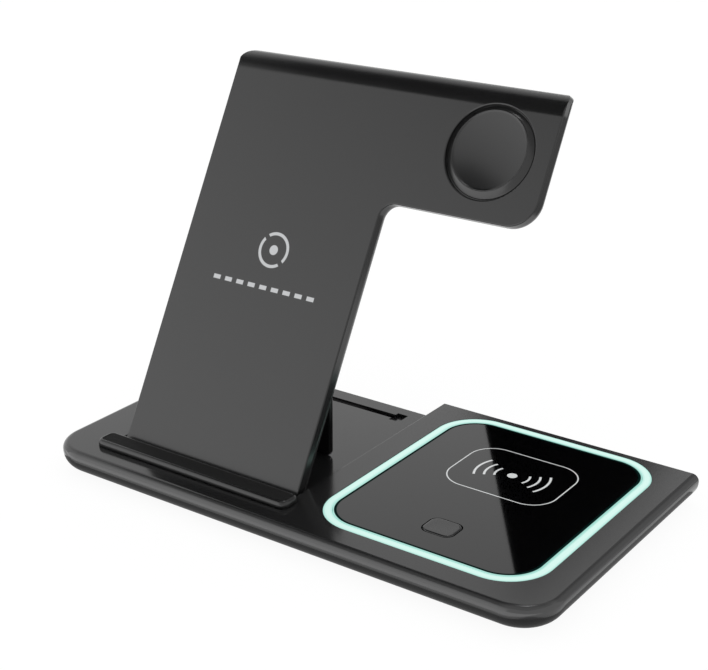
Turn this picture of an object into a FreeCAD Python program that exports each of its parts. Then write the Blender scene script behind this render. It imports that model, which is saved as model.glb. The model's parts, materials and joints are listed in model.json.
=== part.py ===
import FreeCAD, Part
import Sketcher
import os

# Folding charging station: a flat base with a lit earbud pad, and a hinged stand for a phone and a watch.
# The base lies in X and Y with its front towards -Y, and stands on the plane z = 0.

doc = FreeCAD.newDocument("charging_station")
sheet = doc.addObject("Spreadsheet::Sheet", "sizes")

# Driving dimensions in millimetres and degrees.
values = {
    # outline and walls of the base
    "base_length": 171.2,
    "base_depth": 94.9,
    "base_height": 9.0,
    "front_corner": 12.3,
    "edge_round": 2.1,
    "belly_round": 5.9,
    "plate_wall": 1.1,
    "floor_wall": 1.1,
    "side_wall": 1.8,
    "belly_wall": 3.7,
    "hinge_wall": 5.5,
    "channel_roof": 2.5,
    "room_setback": 9.0,
    "inner_corner": 2.0,
    # feet and screws under the base
    "foot_height": 0.8,
    "foot_radius": 5.0,
    "foot_side_inset": 20.0,
    "foot_end_inset": 12.0,
    "screw_radius": 0.95,
    "screw_length": 4.2,
    "screw_head_radius": 1.8,
    "screw_head_height": 0.7,
    "boss_radius": 2.2,
    "screw_left_inset": 8.1,
    "screw_spread": 20.0,
    "screw_nest_inset": 4.7,
    "screw_corner_inset": 9.4,
    "screw_rear_inset": 5.7,
    # light ring and glossy plate of the earbud pad
    "ring_nest_margin": 8.3,
    "ring_side_margin": 9.0,
    "ring_front_margin": 8.7,
    "ring_rear_margin": 2.0,
    "ring_corner": 14.0,
    "ring_band": 2.7,
    "ring_height": 1.2,
    "ring_ledge": 1.0,
    "ledge_height": 0.8,
    "ring_flange": 2.0,
    "pad_thickness": 0.8,
    "fit_gap": 0.05,
    # boards and lights in the base
    "led_board_inset": 0.3,
    "led_board_width": 5.0,
    "led_board_thickness": 0.8,
    "led_width": 1.6,
    "led_height": 0.7,
    "led_inset": 2.0,
    "led_share": 0.72,
    "board_thickness": 1.0,
    "board_length": 38.0,
    "board_depth": 76.0,
    "board_ring_margin": 6.1,
    "board_rear_gap": 0.4,
    "post_height": 1.0,
    "post_radius": 2.0,
    "post_inset": 3.0,
    "peg_radius": 0.8,
    "peg_play": 0.1,
    # earbud coil under the plate
    "earbud_inset": 29.8,
    "earbud_coil_margin": 2.0,
    "earbud_coil_hole": 9.0,
    "earbud_coil_thickness": 1.2,
    "earbud_shield_width": 42.0,
    "shield_thickness": 0.7,
    # socket in the rear wall
    "socket_offset": 22.0,
    "socket_width": 8.94,
    "socket_height": 3.26,
    "socket_length": 7.3,
    "socket_wall": 0.3,
    "socket_sink": 1.1,
    "socket_setback": 0.8,
    "socket_gap": 0.3,
    "tongue_width": 6.7,
    "tongue_thickness": 0.7,
    "tongue_length": 4.5,
    # push key in the plate
    "key_inset": 16.3,
    "key_width": 10.4,
    "key_depth": 9.0,
    "key_corner": 2.8,
    "key_play": 0.2,
    "key_proud": 0.25,
    "key_flange": 1.0,
    "key_flange_height": 0.8,
    "key_lift_gap": 0.1,
    "key_edge": 0.3,
    "key_travel": 0.4,
    "switch_width": 6.0,
    "switch_height": 2.2,
    "plunger_radius": 1.5,
    # nest of the folded stand, and its hinge
    "nest_margin": 16.5,
    "pivot_inset": 19.75,
    "nest_gap": 0.2,
    "nest_side_gap": 0.5,
    "nest_front_gap": 0.3,
    "nest_corner": 0.5,
    "nest_edge": 0.4,
    "pin_radius": 1.0,
    "pin_play": 0.05,
    "pin_reach": 3.0,
    "pin_grip": 5.0,
    # stand: a wide leg with an arm at its top right
    "stand_width": 65.8,
    "stand_rise": 128.2,
    "stand_thickness": 6.0,
    "stand_tilt": 61.14,
    "arm_reach": 48.2,
    "arm_level": 88.4,
    "arm_corner": 8.5,
    "notch_corner": 4.5,
    "top_corner": 5.0,
    "arm_top_corner": 3.5,
    "roll_round": 5.6,
    "back_round": 3.4,
    "face_edge": 0.4,
    "seam_depth": 2.4,
    "barrel_top": 2.5,
    "barrel_round": 2.9,
    "rim_wall": 1.6,
    "back_rim": 3.0,
    "face_wall": 1.0,
    "back_wall": 1.0,
    "pocket_wall": 0.8,
    # phone coil and board in the stand
    "phone_level": 60.0,
    "phone_coil_radius": 21.0,
    "phone_coil_hole": 10.0,
    "phone_coil_thickness": 1.1,
    "phone_shield_width": 43.0,
    "stand_board_width": 44.0,
    "stand_board_depth": 18.0,
    "stand_board_level": 17.0,
    # chips and chokes on the boards
    "chip_width": 5.0,
    "chip_height": 0.9,
    "chip_pitch": 9.0,
    "choke_width": 7.0,
    "choke_height": 1.6,
    # watch puck on the arm
    "watch_level": 107.9,
    "watch_inset": 19.05,
    "dish_radius": 13.8,
    "dish_depth": 1.0,
    "dish_edge": 0.4,
    "dish_floor": 0.8,
    "dish_boss": 1.4,
    "puck_radius": 12.0,
    "puck_play": 0.1,
    "puck_rise": 0.3,
    "puck_hollow": 1.2,
    "puck_rim": 0.5,
    "puck_skin": 0.3,
    "puck_wall": 1.2,
    "puck_flange": 1.2,
    "watch_coil_hole": 4.6,
    "watch_coil_thickness": 0.7,
    "watch_gap": 0.2,
    "watch_coil_gap": 0.4,
    # strut behind the stand, hinged on the floor of the nest
    "strut_inset": 52.75,
    "strut_width": 39.2,
    "strut_thickness": 2.0,
    "strut_lift": 0.1,
    "strut_gap": 0.3,
    "strut_tilt": 90.0,
    "strut_corner": 3.0,
    "strut_edge": 0.9,
    "lug_edge": 0.9,
    "lug_clearance": 0.4,
    "pocket_depth": 2.3,
    "pocket_margin": 0.8,
    "pocket_corner": 2.0,
    "lug_width": 14.0,
    "lug_play": 0.25,
    "strut_pin_radius": 0.5,
    "strut_pin_play": 0.04,
    "strut_pin_short": 0.5,
    "rib_distance": 35.4,
    "rib_width": 2.0,
    "rib_height": 0.7,
    "rib_end_width": 4.9,
    "rib_end_length": 3.2,
    "rib_overhang": 2.4,
    "groove_gap": 0.35,
    # ledge that the phone stands on
    "lip_length": 72.3,
    "lip_depth": 7.5,
    "lip_height": 2.2,
    "lip_setback": 7.45,
    "lip_corner": 2.5,
    "lip_edge": 0.7,
    "strip_margin": 1.2,
    "strip_depth": 0.5,
    "lip_peg_radius": 1.5,
    "lip_peg_length": 1.2,
    "lip_peg_column": 26.0,
}

tiny = 1e-4
clear_of_solid = 5.0


class Size:
    # A number from the sheet, or a sum of such numbers, with the expression that gives it.
    def __init__(self, text, value):
        self.text = text
        self.value = value

    def __add__(self, other):
        other = size_of(other)
        return Size("(%s + %s)" % (self.text, other.text), self.value + other.value)

    def __sub__(self, other):
        other = size_of(other)
        return Size("(%s - %s)" % (self.text, other.text), self.value - other.value)

    def __mul__(self, other):
        other = size_of(other)
        return Size("(%s * %s)" % (self.text, other.text), self.value * other.value)

    def __truediv__(self, other):
        other = size_of(other)
        return Size("(%s / %s)" % (self.text, other.text), self.value / other.value)

    def __radd__(self, other):
        return size_of(other) + self

    def __rsub__(self, other):
        return size_of(other) - self

    def __rmul__(self, other):
        return size_of(other) * self

    def __neg__(self):
        return size_of(0) - self


def size_of(thing):
    if isinstance(thing, Size):
        return thing
    return Size(repr(float(thing)), float(thing))


def sine(angle):
    turned = FreeCAD.Rotation(FreeCAD.Vector(0, 0, 1), angle.value).multVec(FreeCAD.Vector(1, 0, 0))
    return Size("sin(%s * 1 deg)" % angle.text, turned.y)


def cosine(angle):
    turned = FreeCAD.Rotation(FreeCAD.Vector(0, 0, 1), angle.value).multVec(FreeCAD.Vector(1, 0, 0))
    return Size("cos(%s * 1 deg)" % angle.text, turned.x)


class Sizes:
    pass


d = Sizes()
for row, (name, number) in enumerate(values.items(), start=1):
    sheet.set("A%d" % row, name)
    sheet.set("B%d" % row, repr(number))
    sheet.setAlias("B%d" % row, name)
    setattr(d, name, Size("sizes." + name, number))
doc.recompute()

# Levels over the table.
plate_top = d.foot_height + d.plate_wall
floor_top = plate_top + d.floor_wall
ledge_top = d.base_height - d.ring_height
ledge_under = ledge_top - d.ledge_height
pad_under = d.base_height - d.pad_thickness
board_under = plate_top + d.post_height
board_top = board_under + d.board_thickness
pivot_level = floor_top + d.nest_gap + d.stand_thickness / 2
strut_level = floor_top + d.strut_lift + d.strut_thickness / 2

# Places in plan.
front = -(d.base_depth / 2)
rear = d.base_depth / 2
left = -(d.base_length / 2)
right = d.base_length / 2
pivot_row = front + d.pivot_inset
strut_row = front + d.strut_inset
stand_middle = left + d.nest_margin + d.nest_side_gap + d.stand_width / 2
nest_left = stand_middle - d.stand_width / 2 - d.nest_side_gap
nest_right = stand_middle + d.stand_width / 2 + d.nest_side_gap
nest_front = pivot_row - d.stand_thickness / 2 - d.nest_front_gap
lip_front = front + d.lip_setback
lip_rear = lip_front + d.lip_depth
lip_middle = lip_front + d.lip_depth / 2
lip_peg_columns = (stand_middle - d.lip_peg_column, stand_middle + d.lip_peg_column)
ring_left = nest_right + d.ring_nest_margin
ring_right = right - d.ring_side_margin
ring_front = front + d.ring_front_margin
ring_rear = rear - d.ring_rear_margin
ring_column = (ring_left + ring_right) / 2
ring_row = (ring_front + ring_rear) / 2
earbud_row = ring_rear - d.earbud_inset
earbud_half = d.earbud_shield_width / 2
key_row = ring_front + d.key_inset
board_right = ring_right - d.board_ring_margin
board_left = board_right - d.board_length
board_rear = rear - d.side_wall - d.board_rear_gap
board_front = board_rear - d.board_depth
socket_column = board_left + d.socket_offset
socket_middle = board_top - d.socket_sink + d.socket_height / 2
socket_mouth = rear - d.socket_setback

# The stand is drawn lying flat about its pivot, face up, and then tilted, and so is the strut.
face = d.stand_thickness / 2
back = -face
seam = face - d.seam_depth
arm_end = d.stand_width / 2 + d.arm_reach
watch_column = arm_end - d.watch_inset
pocket_floor = back + d.pocket_depth
strut_half = d.strut_thickness / 2
strut_behind = strut_half + d.strut_gap - pocket_floor
tilt_run = (strut_row - pivot_row) * sine(d.stand_tilt) - strut_behind
strut_length = tilt_run / cosine(d.stand_tilt) + pivot_level - strut_level


def bind(thing, prop, size):
    thing.setExpression(prop, size_of(size).text)


def check(thing):
    if thing.Shape.isNull() or not thing.Shape.isValid():
        raise RuntimeError("bad shape: " + thing.Label)


def new_body(label):
    body = doc.addObject("PartDesign::Body", label)
    body.Label = label
    return body


def plane_of(body, role):
    for feature in body.Origin.OriginFeatures:
        if feature.Role == role:
            return feature


def new_sketch(body, role, height):
    sketch = body.newObject("Sketcher::SketchObject", body.Label + "_sketch")
    sketch.AttachmentSupport = (plane_of(body, role), [""])
    sketch.MapMode = "FlatFace"
    bind(sketch, "AttachmentOffset.Base.z", height)
    return sketch


def fix(sketch, constraint, size):
    index = sketch.addConstraint(constraint)
    sketch.setExpression("Constraints[%d]" % index, size.text)


def fix_point(sketch, geometry, place, x, y):
    fix_x(sketch, geometry, place, x)
    fix_y(sketch, geometry, place, y)


def fix_x(sketch, geometry, place, x):
    if x.value == 0:
        sketch.addConstraint(Sketcher.Constraint("PointOnObject", geometry, place, -2))
        return
    fix(sketch, Sketcher.Constraint("DistanceX", -1, 1, geometry, place, x.value), x)


def fix_y(sketch, geometry, place, y):
    if y.value == 0:
        sketch.addConstraint(Sketcher.Constraint("PointOnObject", geometry, place, -1))
        return
    fix(sketch, Sketcher.Constraint("DistanceY", -1, 1, geometry, place, y.value), y)


def corner_arc(sketch, before, corner, after, radius):
    # Adds the round of one corner, and returns its number and which of its ends come first and last.
    towards = (before - corner).normalize()
    onwards = (after - corner).normalize()
    middle = corner + (towards + onwards) * radius
    start = corner + towards * radius
    end = corner + onwards * radius
    through = middle + (corner - middle).normalize() * radius
    if towards.cross(onwards).z < 0:
        return sketch.addGeometry(Part.Arc(start, through, end), False), 1, 2
    return sketch.addGeometry(Part.Arc(end, through, start), False), 2, 1


def outline(sketch, corners):
    # Closed outline of level and upright sides. Each corner is x, y and the radius of its round.
    corners = [(size_of(x), size_of(y), size_of(r)) for x, y, r in corners]
    points = [FreeCAD.Vector(x.value, y.value, 0) for x, y, r in corners]
    count = len(corners)
    arcs = []
    for i, (x, y, radius) in enumerate(corners):
        if radius.value == 0:
            arcs.append(None)
            continue
        arc = corner_arc(sketch, points[i - 1], points[i], points[(i + 1) % count], radius.value)
        fix(sketch, Sketcher.Constraint("Radius", arc[0], radius.value), radius)
        arcs.append(arc)
    sides = []
    for i in range(count):
        j = (i + 1) % count
        along = (points[j] - points[i]).normalize()
        start = points[i] + along * corners[i][2].value
        end = points[j] - along * corners[j][2].value
        side = sketch.addGeometry(Part.LineSegment(start, end), False)
        if abs(along.y) < tiny:
            sketch.addConstraint(Sketcher.Constraint("Horizontal", side))
            fix_y(sketch, side, 1, corners[i][1])
        else:
            sketch.addConstraint(Sketcher.Constraint("Vertical", side))
            fix_x(sketch, side, 1, corners[i][0])
        sides.append(side)
    for i in range(count):
        if arcs[i] is None:
            sketch.addConstraint(Sketcher.Constraint("Coincident", sides[i - 1], 2, sides[i], 1))
            continue
        number, first, last = arcs[i]
        sketch.addConstraint(Sketcher.Constraint("Tangent", sides[i - 1], 2, number, first))
        sketch.addConstraint(Sketcher.Constraint("Tangent", number, last, sides[i], 1))


def box_corners(x0, x1, y0, y1, *radii):
    # Corners of a rectangle from its lower left, anticlockwise, with one radius or one for each corner.
    if len(radii) == 1:
        radii = radii * 4
    return [(x0, y0, radii[0]), (x1, y0, radii[1]), (x1, y1, radii[2]), (x0, y1, radii[3])]


def centred(x, y, width, depth, radius):
    return box_corners(x - width / 2, x + width / 2, y - depth / 2, y + depth / 2, radius)


def circle(sketch, x, y, radius):
    x = size_of(x)
    y = size_of(y)
    place = FreeCAD.Vector(x.value, y.value, 0)
    number = sketch.addGeometry(Part.Circle(place, FreeCAD.Vector(0, 0, 1), radius.value), False)
    fix(sketch, Sketcher.Constraint("Radius", number, radius.value), radius)
    fix_point(sketch, number, 3, x, y)


def pad(body, sketch, length):
    feature = body.newObject("PartDesign::Pad", sketch.Name + "_pad")
    feature.Profile = sketch
    bind(feature, "Length", length)
    doc.recompute()
    check(feature)
    return feature


def cut(body, sketch, length, along_normal=False):
    before = body.Shape.Volume
    feature = body.newObject("PartDesign::Pocket", sketch.Name + "_cut")
    feature.Profile = sketch
    feature.Reversed = along_normal
    bind(feature, "Length", length)
    doc.recompute()
    check(feature)
    if feature.Shape.Volume > before - tiny:
        raise RuntimeError("this cut removes nothing: " + body.Label)
    return feature


def round_edges(body, base, chosen, radius):
    names = ["Edge%d" % (i + 1) for i, edge in enumerate(base.Shape.Edges) if chosen(edge)]
    feature = body.newObject("PartDesign::Fillet", base.Name + "_round")
    feature.Base = (base, names)
    bind(feature, "Radius", radius)
    doc.recompute()
    check(feature)
    return feature


def all_at(edge, axis, size):
    return all(abs(getattr(vertex.Point, axis) - size.value) < tiny for vertex in edge.Vertexes)


def box(label, x, y, z, length, width, height):
    # Plain block, with x, y and z its lowest corner.
    block = doc.addObject("Part::Box", label)
    bind(block, "Length", length)
    bind(block, "Width", width)
    bind(block, "Height", height)
    move(block, x, y, z)
    return block


def rod(label, radius, length, x, y, z):
    # Upright cylinder, with x, y and z the middle of its lower end.
    cylinder = doc.addObject("Part::Cylinder", label)
    bind(cylinder, "Radius", radius)
    bind(cylinder, "Height", length)
    move(cylinder, x, y, z)
    return cylinder


def cross_rod(label, radius, length, x, y, z):
    # Cylinder along +X, with x, y and z the middle of its left end.
    cylinder = rod(label, radius, length, x, y, z)
    turn = FreeCAD.Rotation(FreeCAD.Vector(0, 1, 0), 90)
    cylinder.Placement = FreeCAD.Placement(FreeCAD.Vector(), turn)
    move(cylinder, x, y, z)
    return cylinder


def move(thing, x, y, z):
    bind(thing, "Placement.Base.x", x)
    bind(thing, "Placement.Base.y", y)
    bind(thing, "Placement.Base.z", z)


def joined(label, kind, first, second):
    boolean = doc.addObject("Part::" + kind, label)
    boolean.Base = first
    boolean.Tool = second
    return boolean


def group(label, pieces):
    compound = doc.addObject("Part::Compound", label)
    compound.Links = pieces
    compound.Label = label
    return compound


def on_hinge(thing, x, y, z, angle):
    # Puts a piece that was drawn flat about its pivot in place, turned up about X.
    thing.Placement = FreeCAD.Placement(
        FreeCAD.Vector(), FreeCAD.Rotation(FreeCAD.Vector(1, 0, 0), angle.value))
    bind(thing, "Placement.Rotation.Angle", angle)
    move(thing, x, y, z)


def on_stand(thing):
    on_hinge(thing, stand_middle, pivot_row, pivot_level, d.stand_tilt)
    return thing


nodes = []


def node(thing):
    nodes.append(thing)
    return thing


# Base

def open_edge(edge, level):
    # The rear of the base is cut off flat, and its edges stay sharp.
    return all_at(edge, "z", level) and not all_at(edge, "y", rear)


def base_blank(body):
    # Rounded slab that both halves of the base are parted from.
    sketch = new_sketch(body, "XY_Plane", d.foot_height)
    outline(sketch, box_corners(left, right, front, rear, d.front_corner, d.front_corner, 0, 0))
    slab = pad(body, sketch, d.base_height - d.foot_height)
    belly = round_edges(body, slab, lambda edge: open_edge(edge, d.foot_height), d.belly_round)
    return round_edges(body, belly, lambda edge: open_edge(edge, d.base_height), d.edge_round)


def part_off(body, low, high):
    # Removes a level layer of the base.
    sketch = new_sketch(body, "XY_Plane", low)
    outline(sketch, box_corners(left - clear_of_solid, right + clear_of_solid,
                                front - clear_of_solid, rear + clear_of_solid, 0))
    cut(body, sketch, high - low, along_normal=True)


screw_places = [
    (left + d.screw_left_inset, -d.screw_spread),
    (left + d.screw_left_inset, d.screw_spread),
    (nest_right + d.screw_nest_inset, -d.screw_spread),
    (nest_right + d.screw_nest_inset, d.screw_spread),
    (right - d.screw_corner_inset, front + d.screw_corner_inset),
    (right - d.screw_corner_inset, rear - d.screw_rear_inset),
]


def ring_outline(sketch, inset):
    outline(sketch, box_corners(ring_left + inset, ring_right - inset,
                                ring_front + inset, ring_rear - inset, d.ring_corner - inset))


def socket_outline(sketch, margin):
    half = d.socket_width / 2 + margin
    rise = d.socket_height / 2 + margin
    outline(sketch, box_corners(socket_column - half, socket_column + half,
                                socket_middle - rise, socket_middle + rise, rise - d.socket_wall))


def groove_outline(sketch, gap, row):
    # Long bar with a wider block at each end, as the rib across the strut has.
    half = d.strut_width / 2 + d.rib_overhang + gap
    shoulder = half - d.rib_end_length - gap * 2
    bar = d.rib_width / 2 + gap
    end = d.rib_end_width / 2 + gap
    outline(sketch, [(-half, row - end, 0), (-shoulder, row - end, 0), (-shoulder, row - bar, 0),
                     (shoulder, row - bar, 0), (shoulder, row - end, 0), (half, row - end, 0),
                     (half, row + end, 0), (shoulder, row + end, 0), (shoulder, row + bar, 0),
                     (-shoulder, row + bar, 0), (-shoulder, row + end, 0), (-half, row + end, 0)])


def on_nest_side(edge):
    beside = all_at(edge, "x", nest_left) or all_at(edge, "x", nest_right)
    return beside and all_at(edge, "z", d.base_height)


def base_cover():
    body = new_body("base_cover")
    base_blank(body)
    part_off(body, d.foot_height, plate_top)
    pit = new_sketch(body, "XY_Plane", plate_top)
    cavity_left = nest_right + d.side_wall
    outline(pit, box_corners(cavity_left, right - d.belly_wall, front + d.belly_wall, rear - d.side_wall,
                             d.inner_corner, d.front_corner - d.belly_wall, d.inner_corner, d.inner_corner))
    outline(pit, box_corners(left + d.belly_wall, nest_left - d.hinge_wall,
                             front + d.room_setback, rear - d.side_wall, d.inner_corner))
    cut(body, pit, ledge_under - plate_top, along_normal=True)
    channel = new_sketch(body, "XY_Plane", plate_top)
    outline(channel, box_corners(nest_left - d.hinge_wall - d.inner_corner, cavity_left + d.inner_corner,
                                 front + d.belly_wall * 2, nest_front - d.side_wall, d.inner_corner))
    cut(body, channel, d.base_height - d.channel_roof - plate_top, along_normal=True)
    nest = new_sketch(body, "XY_Plane", d.base_height)
    outline(nest, box_corners(nest_left, nest_right, nest_front, rear + clear_of_solid,
                              d.nest_corner, d.nest_corner, 0, 0))
    nested = cut(body, nest, d.base_height - floor_top)
    round_edges(body, nested, on_nest_side, d.nest_edge)
    seat = new_sketch(body, "XY_Plane", d.base_height)
    ring_outline(seat, size_of(0) - d.fit_gap)
    cut(body, seat, d.ring_height)
    window = new_sketch(body, "XY_Plane", ledge_top)
    ring_outline(window, d.ring_ledge)
    cut(body, window, d.ledge_height)
    bosses = new_sketch(body, "XY_Plane", plate_top)
    for x, y in screw_places:
        circle(bosses, x, y, d.boss_radius)
    pad(body, bosses, ledge_under - plate_top)
    pilots = new_sketch(body, "XY_Plane", plate_top)
    for x, y in screw_places:
        circle(pilots, x, y, d.screw_radius)
    cut(body, pilots, d.screw_length, along_normal=True)
    lug = new_sketch(body, "YZ_Plane", stand_middle - d.lug_width / 2)
    outline(lug, box_corners(strut_row - strut_half, strut_row + strut_half,
                             floor_top - d.floor_wall / 2, strut_level + strut_half,
                             0, 0, d.lug_edge, d.lug_edge))
    pad(body, lug, d.lug_width)
    lug_hole = new_sketch(body, "YZ_Plane", stand_middle - d.lug_width / 2)
    circle(lug_hole, strut_row, strut_level, d.strut_pin_radius)
    cut(body, lug_hole, d.lug_width, along_normal=True)
    groove = new_sketch(body, "XY_Plane", floor_top)
    bind(groove, "AttachmentOffset.Base.x", stand_middle)
    groove_outline(groove, d.groove_gap, strut_row + d.rib_distance)
    cut(body, groove, d.floor_wall)
    hinge_hole = new_sketch(body, "YZ_Plane", nest_left - d.pin_reach)
    circle(hinge_hole, pivot_row, pivot_level, d.pin_radius)
    cut(body, hinge_hole, nest_right - nest_left + d.pin_reach * 2, along_normal=True)
    mouth = new_sketch(body, "XZ_Plane", -(rear + clear_of_solid))
    socket_outline(mouth, d.socket_gap)
    cut(body, mouth, d.side_wall * 2 + clear_of_solid, along_normal=True)
    pegs = new_sketch(body, "XY_Plane", d.base_height)
    for column in lip_peg_columns:
        circle(pegs, column, lip_middle, d.lip_peg_radius)
    cut(body, pegs, d.lip_peg_length)
    return node(body)


post_places = [
    (board_left + d.post_inset, board_front + d.post_inset),
    (board_right - d.post_inset, board_front + d.post_inset),
    (board_left + d.post_inset, board_rear - d.post_inset),
    (board_right - d.post_inset, board_rear - d.post_inset),
]


def base_plate():
    body = new_body("base_plate")
    base_blank(body)
    part_off(body, plate_top, d.base_height)
    posts = new_sketch(body, "XY_Plane", plate_top)
    pegs = new_sketch(body, "XY_Plane", board_under)
    for x, y in post_places:
        circle(posts, x, y, d.post_radius)
        circle(pegs, x, y, d.peg_radius)
    pad(body, posts, d.post_height)
    pad(body, pegs, d.board_thickness)
    holes = new_sketch(body, "XY_Plane", d.foot_height)
    heads = new_sketch(body, "XY_Plane", d.foot_height)
    for x, y in screw_places:
        circle(holes, x, y, d.screw_radius)
        circle(heads, x, y, d.screw_head_radius)
    cut(body, holes, d.plate_wall, along_normal=True)
    cut(body, heads, d.screw_head_height, along_normal=True)
    return node(body)


def base_screws():
    pieces = []
    for i, (x, y) in enumerate(screw_places):
        head = rod("screw_head_%d" % i, d.screw_head_radius, d.screw_head_height, x, y, d.foot_height)
        length = d.screw_length + d.plate_wall
        shank = rod("screw_shank_%d" % i, d.screw_radius, length, x, y, d.foot_height)
        pieces.append(joined("screw_%d" % i, "Fuse", head, shank))
    return node(group("base_screws", pieces))


def rubber_feet():
    pieces = []
    for i, x in enumerate((left + d.foot_side_inset, right - d.foot_side_inset)):
        for j, y in enumerate((front + d.foot_end_inset, rear - d.foot_end_inset)):
            pieces.append(rod("foot_%d_%d" % (i, j), d.foot_radius, d.foot_height, x, y, size_of(0)))
    return node(group("rubber_feet", pieces))


def light_ring():
    body = new_body("light_ring")
    band = new_sketch(body, "XY_Plane", ledge_top)
    ring_outline(band, size_of(0))
    ring_outline(band, d.ring_band)
    pad(body, band, d.ring_height)
    flange = new_sketch(body, "XY_Plane", ledge_top)
    ring_outline(flange, d.ring_band / 2)
    ring_outline(flange, d.ring_band + d.ring_flange)
    pad(body, flange, d.ring_height - d.pad_thickness)
    return node(body)


def pad_plate():
    body = new_body("pad_plate")
    sheet_sketch = new_sketch(body, "XY_Plane", pad_under)
    ring_outline(sheet_sketch, d.ring_band + d.fit_gap)
    outline(sheet_sketch, centred(ring_column, key_row, d.key_width, d.key_depth, d.key_corner))
    pad(body, sheet_sketch, d.pad_thickness)
    return node(body)


key_under = pad_under - d.key_lift_gap - d.key_flange_height
plunger_top = key_under - d.key_travel - d.key_lift_gap


def light_key():
    body = new_body("light_key")
    cap = new_sketch(body, "XY_Plane", key_under)
    outline(cap, centred(ring_column, key_row, d.key_width - d.key_play * 2,
                         d.key_depth - d.key_play * 2, d.key_corner - d.key_play))
    key_top = d.base_height + d.key_proud
    raised = pad(body, cap, key_top - key_under)
    round_edges(body, raised, lambda edge: all_at(edge, "z", key_top), d.key_edge)
    flange = new_sketch(body, "XY_Plane", key_under)
    outline(flange, centred(ring_column, key_row, d.key_width + d.key_flange,
                            d.key_depth + d.key_flange, d.key_corner))
    pad(body, flange, d.key_flange_height)
    return node(body)


def key_switch():
    half = d.switch_width / 2
    case = box("switch_case", ring_column - half, key_row - half, board_top,
               d.switch_width, d.switch_width, d.switch_height)
    plunger = rod("switch_plunger", d.plunger_radius, plunger_top - board_top,
                  ring_column, key_row, board_top)
    return node(joined("key_switch", "Fuse", case, plunger))


def led_board():
    body = new_body("led_board")
    frame = new_sketch(body, "XY_Plane", ledge_under - d.led_board_thickness)
    ring_outline(frame, d.led_board_inset)
    ring_outline(frame, d.led_board_inset + d.led_board_width)
    pad(body, frame, d.led_board_thickness)
    return node(body)


def ring_leds():
    # Lamps along the middle of each side of the ring.
    half = d.led_width / 2
    across = (ring_right - ring_column - d.ring_corner) * d.led_share
    along = (ring_rear - ring_row - d.ring_corner) * d.led_share
    places = []
    for step in (-1, 0, 1):
        for row in (ring_front + d.led_inset, ring_rear - d.led_inset):
            places.append((ring_column + across * step, row))
        for column in (ring_left + d.led_inset, ring_right - d.led_inset):
            places.append((column, ring_row + along * step))
    pieces = []
    for i, (x, y) in enumerate(places):
        pieces.append(box("led_%d" % i, x - half, y - half, ledge_under,
                          d.led_width, d.led_width, d.led_height))
    return node(group("ring_leds", pieces))


def flat_coil(label, radius, hole, thickness, x, y, z):
    outer = rod(label + "_turns", radius, thickness, x, y, z)
    inner = rod(label + "_middle", hole, thickness, x, y, z)
    return joined(label, "Cut", outer, inner)


def earbud_coil():
    level = pad_under - d.earbud_coil_thickness
    return node(flat_coil("earbud_coil", earbud_half - d.earbud_coil_margin, d.earbud_coil_hole,
                          d.earbud_coil_thickness, ring_column, earbud_row, level))


def earbud_shield():
    level = pad_under - d.earbud_coil_thickness - d.shield_thickness
    return node(box("earbud_shield", ring_column - earbud_half, earbud_row - earbud_half, level,
                    earbud_half * 2, earbud_half * 2, d.shield_thickness))


def main_board():
    body = new_body("main_board")
    sketch = new_sketch(body, "XY_Plane", board_under)
    notch = d.socket_width / 2 + d.socket_gap
    notch_front = socket_mouth - d.socket_length - d.socket_gap
    outline(sketch, [(board_left, board_front, 0), (board_right, board_front, 0),
                     (board_right, board_rear, 0), (socket_column + notch, board_rear, 0),
                     (socket_column + notch, notch_front, 0), (socket_column - notch, notch_front, 0),
                     (socket_column - notch, board_rear, 0), (board_left, board_rear, 0)])
    for x, y in post_places:
        circle(sketch, x, y, d.peg_radius + d.peg_play)
    pad(body, sketch, d.board_thickness)
    return node(body)


def chips(name, x, y, z, drop):
    # Row of three chips with a choke behind the middle one, standing on or hanging from a board.
    pieces = []
    for step in (-1, 0, 1):
        place = x + step * d.chip_pitch - d.chip_width / 2
        level = z - d.chip_height * drop
        pieces.append(box("%s_chip_%d" % (name, step + 1), place, y, level,
                          d.chip_width, d.chip_width, d.chip_height))
    pieces.append(box(name + "_choke", x - d.choke_width / 2, y + d.chip_pitch, z - d.choke_height * drop,
                      d.choke_width, d.choke_width, d.choke_height))
    return group(name, pieces)


def board_parts():
    middle = board_left + d.board_length / 2
    return node(chips("board_parts", middle, earbud_row - d.chip_pitch, board_top, 0))


def usb_socket():
    body = new_body("usb_socket")
    shell = new_sketch(body, "XZ_Plane", -socket_mouth)
    socket_outline(shell, size_of(0))
    can = pad(body, shell, d.socket_length)
    if can.Shape.BoundBox.YMax > socket_mouth.value + tiny:
        raise RuntimeError("the socket points outwards")
    hollow = new_sketch(body, "XZ_Plane", -socket_mouth)
    socket_outline(hollow, size_of(0) - d.socket_wall)
    cut(body, hollow, d.socket_length - d.socket_wall * 3, along_normal=True)
    tongue_end = socket_mouth - d.socket_length + d.tongue_length + d.socket_wall
    tongue = new_sketch(body, "XZ_Plane", -tongue_end)
    outline(tongue, centred(socket_column, socket_middle, d.tongue_width, d.tongue_thickness, 0))
    pad(body, tongue, d.tongue_length)
    return node(body)


# Ledge in front of the stand



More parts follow.
